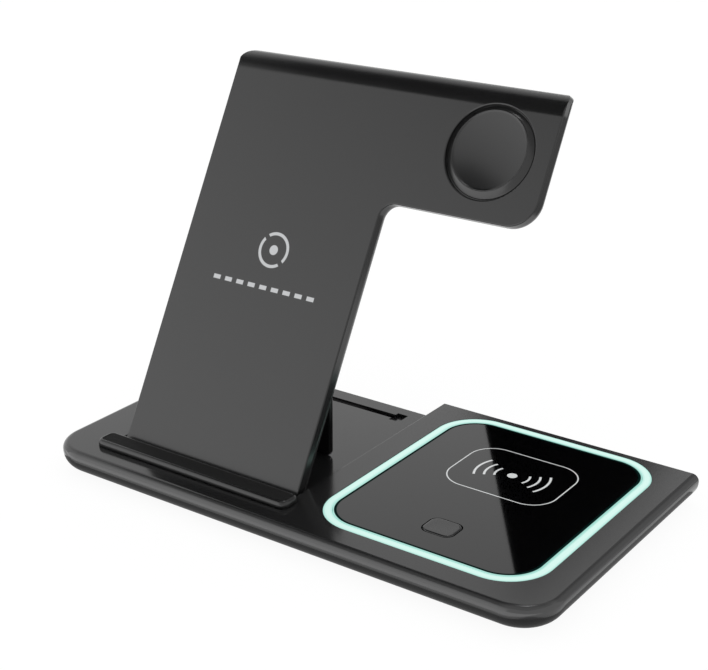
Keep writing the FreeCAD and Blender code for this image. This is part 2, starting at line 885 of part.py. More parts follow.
def rest_lip():
    body = new_body("rest_lip")
    sketch = new_sketch(body, "XY_Plane", d.base_height)
    half = d.lip_length / 2
    outline(sketch, box_corners(stand_middle - half, stand_middle + half, lip_front, lip_rear,
                                d.lip_corner, d.lip_corner, d.lip_edge * 2, d.lip_edge * 2))
    bar = pad(body, sketch, d.lip_height)
    lip_top = d.base_height + d.lip_height
    round_edges(body, bar, lambda edge: all_at(edge, "z", lip_top), d.lip_edge)
    bed = new_sketch(body, "XY_Plane", lip_top)
    strip_outline(bed, size_of(0) - d.fit_gap)
    cut(body, bed, d.strip_depth)
    pegs = new_sketch(body, "XY_Plane", d.base_height - d.lip_peg_length)
    for column in lip_peg_columns:
        circle(pegs, column, lip_middle, d.lip_peg_radius)
    pad(body, pegs, d.lip_peg_length)
    return node(body)


def strip_outline(sketch, inset):
    half = d.lip_length / 2 - d.strip_margin - inset
    outline(sketch, box_corners(stand_middle - half, stand_middle + half,
                                lip_front + d.strip_margin + inset, lip_rear - d.strip_margin - inset,
                                d.strip_margin))


def rest_strip():
    body = new_body("rest_strip")
    sketch = new_sketch(body, "XY_Plane", d.base_height + d.lip_height - d.strip_depth)
    strip_outline(sketch, size_of(0))
    pad(body, sketch, d.strip_depth)
    return node(body)


# Stand

tall = d.stand_rise + clear_of_solid
roll_start = d.stand_rise - d.roll_round


def stand_outline(sketch, inset, top):
    half = d.stand_width / 2 - inset
    end = arm_end - inset
    bottom = d.barrel_top + inset
    level = d.arm_level + inset
    outline(sketch, [(-half, bottom, 0), (half, bottom, 0), (half, level, d.notch_corner + inset),
                     (end, level, d.arm_corner - inset), (end, top, 0), (-half, top, 0)])


def roll_top(body):
    # Rolls the top edge over from the face to the back.
    sketch = new_sketch(body, "YZ_Plane", -(d.stand_width / 2) - clear_of_solid)
    beyond = tall + clear_of_solid
    above = face + clear_of_solid
    outline(sketch, [(d.stand_rise, back - clear_of_solid, 0), (beyond, back - clear_of_solid, 0),
                     (beyond, above, 0), (roll_start - clear_of_solid, above, 0),
                     (roll_start - clear_of_solid, face, 0), (d.stand_rise, face, d.roll_round)])
    cut(body, sketch, d.stand_width + d.arm_reach + clear_of_solid * 2, along_normal=True)


def round_top(body, side, corner, outwards):
    # Rounds an upper corner of the stand in plan, on the side that outwards points to.
    sketch = new_sketch(body, "XY_Plane", back - clear_of_solid)
    edge = side + d.fit_gap * outwards
    top = d.stand_rise + d.fit_gap
    low = top - corner - clear_of_solid
    inner = edge - (corner + clear_of_solid) * outwards
    outer = edge + clear_of_solid * outwards
    beyond = tall + clear_of_solid
    outline(sketch, [(outer, low, 0), (edge, low, 0), (edge, top, corner), (inner, top, 0),
                     (inner, beyond, 0), (outer, beyond, 0)])
    cut(body, sketch, d.stand_thickness + clear_of_solid * 2, along_normal=True)


def round_top_corners(body):
    round_top(body, -(d.stand_width / 2), d.top_corner, -1)
    round_top(body, arm_end, d.arm_top_corner, 1)


def side_edge(edge, level):
    ends = all_at(edge, "y", tall) or all_at(edge, "y", d.barrel_top)
    return all_at(edge, "z", level) and not ends


dish_floor = face - d.dish_depth
boss_under = dish_floor - d.dish_floor


def on_rim(edge):
    if not all_at(edge, "z", face) or not hasattr(edge.Curve, "Radius"):
        return False
    return abs(edge.Curve.Radius - d.dish_radius.value) < tiny


def stand_front():
    body = new_body("stand_front")
    sketch = new_sketch(body, "XY_Plane", seam)
    stand_outline(sketch, size_of(0), tall)
    slab = pad(body, sketch, d.seam_depth)
    round_edges(body, slab, lambda edge: side_edge(edge, face), d.face_edge)
    roll_top(body)
    round_top_corners(body)
    hollow = new_sketch(body, "XY_Plane", seam)
    stand_outline(hollow, d.rim_wall, roll_start)
    cut(body, hollow, d.seam_depth - d.face_wall, along_normal=True)
    boss = new_sketch(body, "XY_Plane", boss_under)
    circle(boss, watch_column, d.watch_level, d.dish_radius + d.dish_boss)
    pad(body, boss, d.dish_floor + d.dish_depth / 2)
    dish = new_sketch(body, "XY_Plane", face)
    circle(dish, watch_column, d.watch_level, d.dish_radius)
    sunk = cut(body, dish, d.dish_depth)
    round_edges(body, sunk, on_rim, d.dish_edge)
    hole = new_sketch(body, "XY_Plane", face)
    circle(hole, watch_column, d.watch_level, d.puck_radius + d.puck_play)
    cut(body, hole, d.stand_thickness)
    return node(on_stand(body))


pocket_low = strut_row - pivot_row - strut_half - d.pocket_margin
pocket_high = strut_row - pivot_row + strut_length + strut_half + d.pocket_margin


def stand_back():
    body = new_body("stand_back")
    sketch = new_sketch(body, "XY_Plane", back)
    stand_outline(sketch, size_of(0), tall)
    slab = pad(body, sketch, seam - back)
    round_edges(body, slab, lambda edge: side_edge(edge, back), d.back_round)
    roll_top(body)
    round_top_corners(body)
    half = d.stand_width / 2
    barrel = new_sketch(body, "YZ_Plane", -half)
    outline(barrel, box_corners(back, d.barrel_top, back, face, d.barrel_round, 0, 0, d.barrel_round))
    pad(body, barrel, d.stand_width)
    pin_hole = new_sketch(body, "YZ_Plane", -half)
    circle(pin_hole, 0, 0, d.pin_radius + d.pin_play)
    cut(body, pin_hole, d.stand_width, along_normal=True)
    pocket = new_sketch(body, "XY_Plane", back)
    reach = d.strut_width / 2 + d.pocket_margin
    outline(pocket, box_corners(-reach, reach, pocket_low, pocket_high, d.pocket_corner))
    cut(body, pocket, d.pocket_depth, along_normal=True)
    side = half - d.back_rim
    shallow = new_sketch(body, "XY_Plane", seam)
    outline(shallow, box_corners(-side, side, d.barrel_top + d.back_rim, roll_start, d.inner_corner))
    cut(body, shallow, seam - pocket_floor - d.pocket_wall)
    deep = new_sketch(body, "XY_Plane", seam)
    outline(deep, box_corners(-side, side, d.barrel_top + d.back_rim, pocket_low - d.pocket_wall,
                              d.inner_corner))
    outline(deep, box_corners(-side, arm_end - d.back_rim, pocket_high + d.pocket_wall, roll_start,
                              d.inner_corner))
    cut(body, deep, seam - back - d.back_wall)
    return node(on_stand(body))


coil_level = face - d.face_wall - d.phone_coil_thickness
middle = size_of(0)


def phone_coil():
    coil = flat_coil("phone_coil", d.phone_coil_radius, d.phone_coil_hole, d.phone_coil_thickness,
                     middle, d.phone_level, coil_level)
    return node(on_stand(coil))


def phone_shield():
    half = d.phone_shield_width / 2
    block = box("phone_shield_block", -half, d.phone_level - half, coil_level - d.shield_thickness,
                d.phone_shield_width, d.phone_shield_width, d.shield_thickness)
    return node(on_stand(group("phone_shield", [block])))


stand_board_under = face - d.face_wall - d.board_thickness


def stand_board():
    low = d.stand_board_level - d.stand_board_depth / 2
    block = box("stand_board_block", -(d.stand_board_width / 2), low, stand_board_under,
                d.stand_board_width, d.stand_board_depth, d.board_thickness)
    return node(on_stand(group("stand_board", [block])))


def stand_parts():
    low = d.stand_board_level - d.stand_board_depth / 2 + d.watch_gap
    return node(on_stand(chips("stand_parts", middle, low, stand_board_under, 1)))


# Watch puck on the arm

puck_top = face + d.puck_rise
hollow_radius = d.puck_radius - d.puck_wall


def watch_puck():
    # Flanged cup whose face is hollowed by a ball, with a narrow rim left around the hollow.
    post = rod("puck_post", d.puck_radius, puck_top - seam, watch_column, d.watch_level, seam)
    ball = doc.addObject("Part::Sphere", "puck_ball")
    reach = d.puck_radius - d.puck_rim
    ball_radius = (reach * reach + d.puck_hollow * d.puck_hollow) / (d.puck_hollow * 2)
    bind(ball, "Radius", ball_radius)
    move(ball, watch_column, d.watch_level, puck_top - d.puck_hollow + ball_radius)
    cup = joined("puck_cup", "Cut", post, ball)
    flange = rod("puck_flange", d.puck_radius + d.puck_flange, boss_under - seam,
                 watch_column, d.watch_level, seam)
    whole = joined("puck_whole", "Fuse", cup, flange)
    room = rod("puck_room", hollow_radius, dish_floor - d.puck_skin - seam,
               watch_column, d.watch_level, seam)
    return node(on_stand(joined("watch_puck", "Cut", whole, room)))


def watch_coil():
    coil = flat_coil("watch_coil", hollow_radius - d.watch_coil_gap, d.watch_coil_hole,
                     d.watch_coil_thickness, watch_column, d.watch_level, seam + d.watch_gap)
    return node(on_stand(coil))


def watch_magnet():
    disc = rod("watch_magnet_disc", d.watch_coil_hole - d.watch_coil_gap,
               d.watch_coil_thickness + d.watch_gap, watch_column, d.watch_level, seam)
    return node(on_stand(group("watch_magnet", [disc])))


def watch_shield():
    disc = rod("watch_shield_disc", d.puck_radius + d.puck_flange / 2, d.shield_thickness,
               watch_column, d.watch_level, seam - d.shield_thickness)
    return node(on_stand(group("watch_shield", [disc])))


def hinge_pins():
    length = d.pin_reach + d.nest_side_gap + d.pin_grip
    pins = []
    for side, start in (("left", nest_left - d.pin_reach), ("right", nest_right + d.pin_reach - length)):
        pins.append(cross_rod("hinge_pin_" + side, d.pin_radius, length, start, pivot_row, pivot_level))
    return node(group("hinge_pins", pins))


# Strut behind the stand

def strut_plate():
    body = new_body("strut_plate")
    half = d.strut_width / 2
    sketch = new_sketch(body, "XY_Plane", -strut_half)
    outline(sketch, box_corners(-half, half, -strut_half, strut_length + strut_half,
                                d.strut_thickness, d.strut_thickness, d.strut_corner, d.strut_corner))
    slab = pad(body, sketch, d.strut_thickness)
    top = round_edges(body, slab, lambda edge: all_at(edge, "z", strut_half), d.strut_edge)
    round_edges(body, top, lambda edge: all_at(edge, "z", -strut_half), d.strut_edge)
    notch = new_sketch(body, "XY_Plane", -strut_half)
    gap = d.lug_width / 2 + d.lug_play
    outline(notch, box_corners(-gap, gap, -strut_half - clear_of_solid, strut_half + d.lug_clearance, 0))
    cut(body, notch, d.strut_thickness, along_normal=True)
    rib = new_sketch(body, "XY_Plane", -strut_half - d.rib_height)
    groove_outline(rib, size_of(0), d.rib_distance)
    pad(body, rib, d.rib_height)
    hole = new_sketch(body, "YZ_Plane", -half)
    circle(hole, 0, 0, d.strut_pin_radius + d.strut_pin_play)
    cut(body, hole, d.strut_width, along_normal=True)
    on_hinge(body, stand_middle, strut_row, strut_level, d.strut_tilt)
    return node(body)


def strut_pin():
    length = d.strut_width - d.strut_pin_short * 2
    start = stand_middle - length / 2
    return node(group("strut_pin", [
        cross_rod("strut_pin_rod", d.strut_pin_radius, length, start, strut_row, strut_level)]))


makers = [base_cover, base_plate, base_screws, rubber_feet, light_ring, pad_plate, light_key, key_switch,
          led_board, ring_leds, earbud_coil, earbud_shield, main_board, board_parts, usb_socket,
          rest_lip, rest_strip, stand_front, stand_back, phone_coil, phone_shield, stand_board, stand_parts,
          watch_puck, watch_coil, watch_magnet, watch_shield, hinge_pins, strut_plate, strut_pin]
for make in makers:
    make()
doc.recompute()

for thing in doc.Objects:
    if "Invalid" in thing.State or "Error" in thing.State:
        raise RuntimeError("not built: " + thing.Name)

os.makedirs("parts", exist_ok=True)
for piece in nodes:
    check(piece)
    piece.Shape.exportStep("parts/%s.step" % piece.Label)
    print(piece.Label, len(piece.Shape.Solids), round(piece.Shape.Volume, 2))
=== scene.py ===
import bpy
import bmesh
import json
import math
import numpy as np
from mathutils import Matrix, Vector


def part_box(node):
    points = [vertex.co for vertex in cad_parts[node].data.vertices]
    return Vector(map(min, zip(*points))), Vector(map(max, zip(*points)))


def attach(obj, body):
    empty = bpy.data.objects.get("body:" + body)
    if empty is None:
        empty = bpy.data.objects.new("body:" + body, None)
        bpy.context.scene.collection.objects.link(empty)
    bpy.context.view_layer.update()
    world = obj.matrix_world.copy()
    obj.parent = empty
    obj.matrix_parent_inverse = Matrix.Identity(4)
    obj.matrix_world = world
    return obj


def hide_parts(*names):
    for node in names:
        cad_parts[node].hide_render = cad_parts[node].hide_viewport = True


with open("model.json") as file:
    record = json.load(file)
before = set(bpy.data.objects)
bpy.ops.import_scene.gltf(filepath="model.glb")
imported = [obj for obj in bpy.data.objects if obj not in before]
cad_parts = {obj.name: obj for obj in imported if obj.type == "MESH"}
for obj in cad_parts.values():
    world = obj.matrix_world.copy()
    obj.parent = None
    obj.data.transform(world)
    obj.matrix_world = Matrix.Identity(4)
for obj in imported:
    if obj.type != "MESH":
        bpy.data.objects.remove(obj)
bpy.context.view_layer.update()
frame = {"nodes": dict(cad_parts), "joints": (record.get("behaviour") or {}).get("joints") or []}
cadNodes = frame["nodes"]
joints = {joint["name"]: joint for joint in frame["joints"]}
print("frame:", len(cadNodes), "nodes")

mm = 0.001


def intoScene(name, data):
    made = bpy.data.objects.new(name, data)
    bpy.context.scene.collection.objects.link(made)
    return made


# camera

cameraPlace = {
    "azimuth": 35.416,
    "elevation": 21.677,
    "position": (0.23303, -0.33344, 0.2103),
    "lens": 77.22,
    "sensor": 36.0,
}


def makeCamera():
    azimuth = math.radians(cameraPlace["azimuth"])
    elevation = math.radians(cameraPlace["elevation"])
    level = math.cos(elevation)
    forward = Vector((-math.sin(azimuth) * level, math.cos(azimuth) * level, -math.sin(elevation)))
    data = bpy.data.cameras.new("camera")
    data.lens = cameraPlace["lens"]
    data.sensor_width = cameraPlace["sensor"]
    camera = intoScene("camera", data)
    camera.location = cameraPlace["position"]
    camera.rotation_euler = forward.to_track_quat("-Z", "Y").to_euler()
    bpy.context.scene.camera = camera


makeCamera()
print("camera made")


# shader maths: a Field is one value of a material, and sums and products of Fields add Math nodes

class Field:
    def __init__(self, paint, socket):
        self.paint = paint
        self.socket = socket

    def math(self, operation, *others):
        sockets = dict(enumerate((self, *others)))
        return self.paint.node("ShaderNodeMath", {"operation": operation}, sockets)

    def __add__(self, other):
        return self.math("ADD", other)

    __radd__ = __add__

    def __sub__(self, other):
        return self.math("SUBTRACT", other)

    def __rsub__(self, other):
        return self * -1 + other

    def __mul__(self, other):
        return self.math("MULTIPLY", other)

    __rmul__ = __mul__

    def __truediv__(self, other):
        return self.math("DIVIDE", other)

    def __abs__(self):
        return self.math("ABSOLUTE")

    def least(self, other):
        return self.math("MINIMUM", other)

    def most(self, other):
        return self.math("MAXIMUM", other)

    def root(self):
        return self.math("SQRT")

    def below(self, edge, soft):
        # 1 where the value is under the edge, falling to 0 over the soft width
        return self.paint.node("ShaderNodeMapRange", {"interpolation_type": "SMOOTHSTEP"},
                               {"Value": self, "From Min": edge - soft, "From Max": edge + soft,
                                "To Min": 1.0, "To Max": 0.0})

    def folded(self, pitch, count):
        # a row of pitches about 0 folded onto one, measured from its middle;
        # one more row is added first, so that nothing in reach is less than 0
        return (self + pitch * (count / 2 + count)).math("MODULO", pitch) - pitch / 2


class Paint:
    def __init__(self, name):
        self.material = bpy.data.materials.new(name)
        self.material.use_nodes = True
        self.tree = self.material.node_tree
        self.shader = self.tree.nodes["Principled BSDF"]

    def node(self, kind, settings, sockets, output=0):
        made = self.tree.nodes.new(kind)
        for key, value in settings.items():
            setattr(made, key, value)
        for key, value in sockets.items():
            self.feed(made.inputs[key], value)
        return Field(self, made.outputs[output])

    def feed(self, socket, value):
        if isinstance(value, Field):
            self.tree.links.new(value.socket, socket)
        else:
            socket.default_value = value

    def place(self):
        return self.node("ShaderNodeTexCoord", {}, {}, "Object")

    def split(self, vector):
        parts = self.node("ShaderNodeSeparateXYZ", {}, {0: vector})
        outputs = parts.socket.node.outputs
        return [Field(self, outputs[axis]) for axis in "XYZ"]

    def turned(self, centre, angle):
        # place on the piece, measured from a centre in axes turned about X
        moved = self.node("ShaderNodeVectorMath", {"operation": "SUBTRACT"},
                          {0: self.place(), 1: centre})
        return self.node("ShaderNodeVectorRotate", {"rotation_type": "X_AXIS"},
                         {"Vector": moved, "Angle": -angle})

    def attribute(self, name):
        return self.node("ShaderNodeAttribute", {"attribute_name": name}, {}, "Fac")

    def noise(self, scale, detail):
        return self.node("ShaderNodeTexNoise", {},
                         {"Vector": self.place(), "Scale": scale, "Detail": detail})

    def blend(self, factor, first, second):
        # the Mix node takes its two colours on sockets 6 and 7 and gives the mix on output 2
        return self.node("ShaderNodeMix", {"data_type": "RGBA"},
                         {0: factor, 6: first, 7: second}, 2)

    def bump(self, height, strength, distance):
        # a second bump lies on top of the first
        sockets = {"Height": height, "Strength": strength, "Distance": distance}
        normal = self.shader.inputs["Normal"]
        if normal.is_linked:
            sockets["Normal"] = Field(self, normal.links[0].from_socket)
        self.feed(normal, self.node("ShaderNodeBump", {}, sockets))

    def cover(self, mask, colour):
        # matt coat over the surface where the mask is 1
        matt = self.node("ShaderNodeBsdfDiffuse", {}, {"Color": colour}, "BSDF")
        shine = Field(self, self.shader.outputs["BSDF"])
        mixed = self.node("ShaderNodeMixShader", {}, {0: mask, 1: shine, 2: matt}, "Shader")
        self.feed(self.tree.nodes["Material Output"].inputs["Surface"], mixed)

    def surface(self, **sockets):
        for key, value in sockets.items():
            self.feed(self.shader.inputs[key.replace("_", " ")], value)
        return self.material


def grey(value):
    return (value, value, value, 1.0)


def darkened(colour, share):
    return tuple(part * share for part in colour[:3]) + (1.0,)


def wear(material, *names):
    # puts a finish on CAD nodes
    for name in names:
        slots = cadNodes[name].data.materials
        slots.clear()
        slots.append(material)


finishes = {}  # materials by name, for the pieces made further down


# finishes of the shells

shellLook = {
    "base": {"colour": (0.013, 0.013, 0.0133, 1.0), "roughness": 0.14, "grain": 0.10},
    "stand": {"colour": (0.009, 0.009, 0.0092, 1.0), "roughness": 0.20, "grain": 0.16},
    "driftScale": 38.0,
    "driftDetail": 3.0,
    "driftShade": 0.86,  # darkest, as a share of the colour
    "driftSwing": 0.05,  # of the roughness
    "grainScale": 5200.0,
    "grainDetail": 1.0,
    "grainDepth": 0.012 * mm,
    "grainSwing": 0.03,  # of the roughness
    "seamWidth": 0.07 * mm,
    "seamLevel": 0.002,
}


def shellPaint(name, look):
    # moulded plastic: fine spark grain, and a slow drift of its colour and sheen
    paint = Paint(name)
    drift = paint.noise(shellLook["driftScale"], shellLook["driftDetail"])
    fine = paint.noise(shellLook["grainScale"], shellLook["grainDetail"])
    shade = paint.blend(drift, darkened(look["colour"], shellLook["driftShade"]), look["colour"])
    smoothest = look["roughness"] - (shellLook["driftSwing"] + shellLook["grainSwing"]) / 2
    paint.surface(Roughness=smoothest + drift * shellLook["driftSwing"]
                  + fine * shellLook["grainSwing"])
    paint.bump(fine, look["grain"], shellLook["grainDepth"])
    return paint, shade


# front panel of the stand, in the stand's own axes from its hinge

standAxes = {
    "pivot": joints["stand_fold"]["pos_m"],
    "tilt": math.radians(joints["stand_fold"]["range_deg"][1]),
    "face": 3.0 * mm,  # heights over the hinge's axis
    "seam": 0.6 * mm,
}

panelRoll = {
    "start": 120.6 * mm,  # along the leg, from the hinge
    "reach": 6.0 * mm,
    "bend": 175.0,  # one over the radius at the start, in metres
}

panelMark = {
    "centre": (0.65 * mm, 67.7 * mm),
    "ring": 5.0 * mm,
    "line": 0.95 * mm,
    "dot": 1.5 * mm,
    "gap": 1.1 * mm,
    "barRow": 56.1 * mm,
    "barPitch": 4.4 * mm,
    "barCount": 9,
    "barWidth": 2.6 * mm,
    "barHeight": 1.3 * mm,
    "soft": 0.09 * mm,
    "depth": 0.2 * mm,  # how far below the face the ink may show
    "depthSoft": 0.05 * mm,
    "ink": (0.50, 0.51, 0.52, 1.0),
}


def makePanelPaint():
    paint, shade = shellPaint("panelPlastic", shellLook["stand"])
    x, u, z = paint.split(paint.turned(standAxes["pivot"], standAxes["tilt"]))
    mark = panelMark
    soft = mark["soft"]
    side = x - mark["centre"][0]
    rise = u - mark["centre"][1]
    radius = (side * side + rise * rise).root()
    # the ring is broken by two slanted gaps, and holds a dot
    ring = abs(radius - mark["ring"]).below(mark["line"] / 2, soft)
    broken = abs(side + rise).below(mark["gap"], soft)
    dot = radius.below(mark["dot"], soft)
    # row of level bars under the ring, each pitch folded onto one bar
    row = abs(u - mark["barRow"]).below(mark["barHeight"] / 2, soft)
    across = abs(side.folded(mark["barPitch"], mark["barCount"]))
    bar = across.below(mark["barWidth"] / 2, soft)
    reach = abs(side).below(mark["barPitch"] * mark["barCount"] / 2, soft)
    ink = (ring * (1 - broken)).most(dot).most(row * bar * reach)
    # the ink lies on the front face alone
    front = (standAxes["face"] - mark["depth"] - z).below(0.0, mark["depthSoft"])
    # the face starts to fall away below the rolled edge, by a cubic whose slope is nothing
    # at both its ends
    fall = (u - panelRoll["start"]).most(0.0).least(panelRoll["reach"])
    drop = fall * fall * (0.5 - fall / (panelRoll["reach"] * 3))
    paint.bump(drop * -panelRoll["bend"], 1.0, 1.0)
    # dark hairline where the two halves of the stand meet
    seam = abs(z - standAxes["seam"]).below(shellLook["seamWidth"], shellLook["seamWidth"])
    shade = paint.blend(seam, shade, grey(shellLook["seamLevel"]))
    return paint.surface(Base_Color=paint.blend(ink * front, shade, mark["ink"]))


# base, with a painted highlight: a paler band round its rounded upper edge

baseEdgeHighlight = {
    "colour": (0.042, 0.042, 0.0425, 1.0),
    "corner": 12.0 * mm,
    "reach": 3.2 * mm,
    "reachSoft": 3.2 / 6 * mm,
    "drop": 0.2 * mm,  # starts and ends so far below the top
    "foot": 2.6 * mm,
    "footSoft": 2.6 / 3 * mm,
}


def roundedFrame(x, y, size, corner):
    # distance from the outline of a rounded rectangle, less than nothing inside it
    across = abs(x) - (size[0] / 2 - corner)
    along = abs(y) - (size[1] / 2 - corner)
    outside = (across.most(0.0) * across.most(0.0) + along.most(0.0) * along.most(0.0)).root()
    return outside + across.most(along).least(0.0) - corner


def makeBasePaint():
    # the square outline, as deep as the base is wide, keeps the open rear of the nest out of reach
    paint, shade = shellPaint("basePlastic", shellLook["base"])
    x, y, z = paint.split(paint.place())
    low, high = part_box("base_cover")
    width = high.x - low.x
    outline = roundedFrame(x - (low.x + high.x) / 2, y - low.y - width / 2, (width, width),
                           baseEdgeHighlight["corner"])
    inside = outline.below(-baseEdgeHighlight["reach"], baseEdgeHighlight["reachSoft"])
    under = z.below(high.z - baseEdgeHighlight["drop"], baseEdgeHighlight["drop"])
    foot = z.below(high.z - baseEdgeHighlight["foot"], baseEdgeHighlight["footSoft"])
    # painted highlight: paler colour on the rounded upper edge, from just under the top down to the
    # foot height
    paintedHighlight = (1 - inside) * under * (1 - foot)
    return paint.surface(Base_Color=paint.blend(paintedHighlight, shade, baseEdgeHighlight["colour"]))


def makeStandPaint():
    paint, shade = shellPaint("standPlastic", shellLook["stand"])
    return paint.surface(Base_Color=shade)


wear(makeBasePaint(), "base_cover", "base_plate")
finishes["standPlastic"] = makeStandPaint()
wear(finishes["standPlastic"], "stand_back", "strut_plate", "rest_lip")
wear(makePanelPaint(), "stand_front")
print("shells painted")


# glossy plate of the earbud pad, with its printed frame and waves

padPrint = {
    "frame": (34.9 * mm, 27.3 * mm),
    "corner": 8.0 * mm,
    "frameLine": 0.36 * mm,
    "waves": (5.2 * mm, 8.2 * mm, 11.2 * mm),
    "waveLine": 0.68 * mm,
    "waveSpread": 0.55,  # rise of the fan's sides
    "dot": 1.5 * mm,
    "soft": 0.08 * mm,
    "ink": (0.76, 0.78, 0.78, 1.0),
    "gloss": (0.0014, 0.0014, 0.0016, 1.0),
    "roughness": 0.02,
    "refraction": 1.46,
    "smudgeScale": 55.0,
    "smudgeDetail": 4.0,
    "smudgeSwing": 0.015,  # of the roughness
    "plateCorner": 11.25 * mm,
    # painted glow of the ring's light on the plate's edge
    "edgeGlow": 0.38 * mm,
    "edgeSoft": 0.095 * mm,
    "edgeColour": (0.36, 0.70, 0.62, 1.0),
    # painted shade of the gap between plate and ring, as a dark line
    "gapShade": 0.75 * mm,
    "gapShadeSoft": 0.15 * mm,
    "gapShadeColour": (0.002, 0.014, 0.012, 1.0),
}


def makePadPaint():
    look = padPrint
    paint = Paint("padGloss")
    placeX, placeY, _ = paint.split(paint.place())
    low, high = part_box("pad_plate")
    plate = roundedFrame(placeX - (low.x + high.x) / 2, placeY - (low.y + high.y) / 2,
                         (high.x - low.x, high.y - low.y), look["plateCorner"])
    # painted glow: light of the ring caught in the edge of the plate, given as emission
    glow = abs(plate).below(look["edgeGlow"], look["edgeSoft"])
    # dark matt line just inside it: painted shade of the gap between plate and ring
    inside = plate.below(-look["edgeGlow"] - look["gapShade"], look["gapShadeSoft"])
    paint.cover((1 - inside) * (1 - glow), look["gapShadeColour"])
    # frame, dot and waves stand over the middle of the coil
    low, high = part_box("earbud_coil")
    x = placeX - (low.x + high.x) / 2
    y = placeY - (low.y + high.y) / 2
    soft = look["soft"]
    ink = abs(roundedFrame(x, y, look["frame"], look["corner"])).below(look["frameLine"] / 2, soft)
    radius = (x * x + y * y).root()
    fan = (abs(y) - abs(x) * look["waveSpread"]).below(0.0, soft)
    for wave in look["waves"]:
        ink = ink.most(abs(radius - wave).below(look["waveLine"] / 2, soft) * fan)
    ink = ink.most(radius.below(look["dot"], soft))
    smudge = paint.noise(look["smudgeScale"], look["smudgeDetail"])
    return paint.surface(Base_Color=paint.blend(ink, look["gloss"], look["ink"]),
                         Roughness=look["roughness"] + smudge * look["smudgeSwing"],
                         IOR=look["refraction"],
                         Emission_Color=paint.blend(glow, grey(0.0), look["edgeColour"]),
                         Emission_Strength=1.0)


wear(makePadPaint(), "pad_plate")
print("pad painted")


# meshes from grids

mergeGap = {"points": 1e-7, "edges": 1e-8}  # metres


def gridMesh(name, points, closeAround=False, closeAlong=False):
    # points[i, j] is a grid of two parameters; neighbours are joined by quads,
    # round the ends where it closes
    rows, columns = points.shape[:2]
    i = np.arange(rows if closeAround else rows - 1)
    j = np.arange(columns if closeAlong else columns - 1)
    i, j = [a.ravel() for a in np.meshgrid(i, j, indexing="ij")]
    nextI = (i + 1) % rows
    nextJ = (j + 1) % columns
    faces = np.stack([i * columns + j, nextI * columns + j,
                      nextI * columns + nextJ, i * columns + nextJ], axis=1)
    mesh = bpy.data.meshes.new(name)
    mesh.vertices.add(rows * columns)
    mesh.vertices.foreach_set("co", points.reshape(-1).astype(np.float32))
    mesh.loops.add(faces.size)
    mesh.loops.foreach_set("vertex_index", faces.reshape(-1).astype(np.int32))
    mesh.polygons.add(len(faces))
    mesh.polygons.foreach_set("loop_start", (np.arange(len(faces)) * 4).astype(np.int32))
    mesh.update(calc_edges=True)
    mesh.validate()
    mesh.polygons.foreach_set("use_smooth", np.ones(len(mesh.polygons), dtype=bool))
    return mesh


def addPiece(mesh, body, material, slot, *replaced):
    piece = intoScene(mesh.name, mesh)
    piece.data.materials.append(material)
    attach(piece, body)
    if replaced:
        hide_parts(*replaced)


def addValues(mesh, name, values):
    # one number for each point, which the finish reads
    data = mesh.attributes.new(name, "FLOAT", "POINT").data
    data.foreach_set("value", values.astype(np.float32))


def mergeDoubles(mesh, turnOut=False):
    # closes poles and seams where points of the grid fall together
    shape = bmesh.new()
    shape.from_mesh(mesh)
    bmesh.ops.remove_doubles(shape, verts=shape.verts, dist=mergeGap["points"])
    bmesh.ops.dissolve_degenerate(shape, edges=shape.edges, dist=mergeGap["edges"])
    if turnOut:
        bmesh.ops.recalc_face_normals(shape, faces=shape.faces)
    shape.to_mesh(mesh)
    shape.free()
    return mesh


def loopGrid(low, high, corner, insets, steps):
    # rounded rectangles one inside the other, anticlockwise: an inset moves the sides in
    # and shrinks the corners
    turn = np.linspace(0.0, math.pi / 2, steps)
    angle = (turn[None, :] + np.arange(4)[:, None] * math.pi / 2).reshape(-1)
    outward = np.stack([np.cos(angle), np.sin(angle)], axis=1)
    signs = np.repeat(np.array([[1, 1], [-1, 1], [-1, -1], [1, -1]]), steps, axis=0)
    radius = np.clip(corner - insets, 0.0, None)
    half = np.array([high[0] - low[0], high[1] - low[1]]) / 2
    reach = np.clip(half[None, :] - insets[:, None] - radius[:, None], 0.0, None)
    middle = np.array([high[0] + low[0], high[1] + low[1]]) / 2
    sides = middle + signs[:, None, :] * reach[None, :, :]
    return sides + outward[:, None, :] * radius[None, :, None]


def stackLoops(low, high, corner, profile, steps):
    # profile of (inset, height) rows carried round the nested rounded rectangles
    flat = loopGrid(low, high, corner, profile[:, 0], steps)
    points = np.zeros(flat.shape[:2] + (3,))
    points[:, :, :2] = flat
    points[:, :, 2] = profile[None, :, 1]
    return points


def turnedPoints(profile, steps):
    # profile of (radius, height) rows turned once round the upright axis
    angle = np.arange(steps) * 2 * math.pi / steps
    points = np.zeros((steps, len(profile), 3))
    points[:, :, 0] = np.cos(angle)[:, None] * profile[None, :, 0]
    points[:, :, 1] = np.sin(angle)[:, None] * profile[None, :, 0]
    points[:, :, 2] = profile[None, :, 1]
    return points


def roundEdge(start, end, bulge, count):
    # quarter of an ellipse from start to end, leaving start along the bulge axis
    # (0 sideways, 1 upright)
    turn = np.linspace(0.0, math.pi / 2, count)
    first, second = np.sin(turn), 1.0 - np.cos(turn)
    shares = np.stack([first, second] if bulge == 0 else [second, first], axis=1)
    return np.array(start) + (np.array(end) - np.array(start)) * shares


def ripple(share, count):
    # 0 where each wave begins and ends, and 1 half way
    return 0.5 - 0.5 * np.cos(share * 2 * math.pi * count)


def onStand(points):
    # carries points from the stand's own axes, along its leg and out of its face, into the frame
    cosine, sine = math.cos(standAxes["tilt"]), math.sin(standAxes["tilt"])
    turn = np.array([[1.0, 0.0, 0.0], [0.0, cosine, -sine], [0.0, sine, cosine]])
    return points @ turn.T + np.array(standAxes["pivot"])


# lens of the light ring

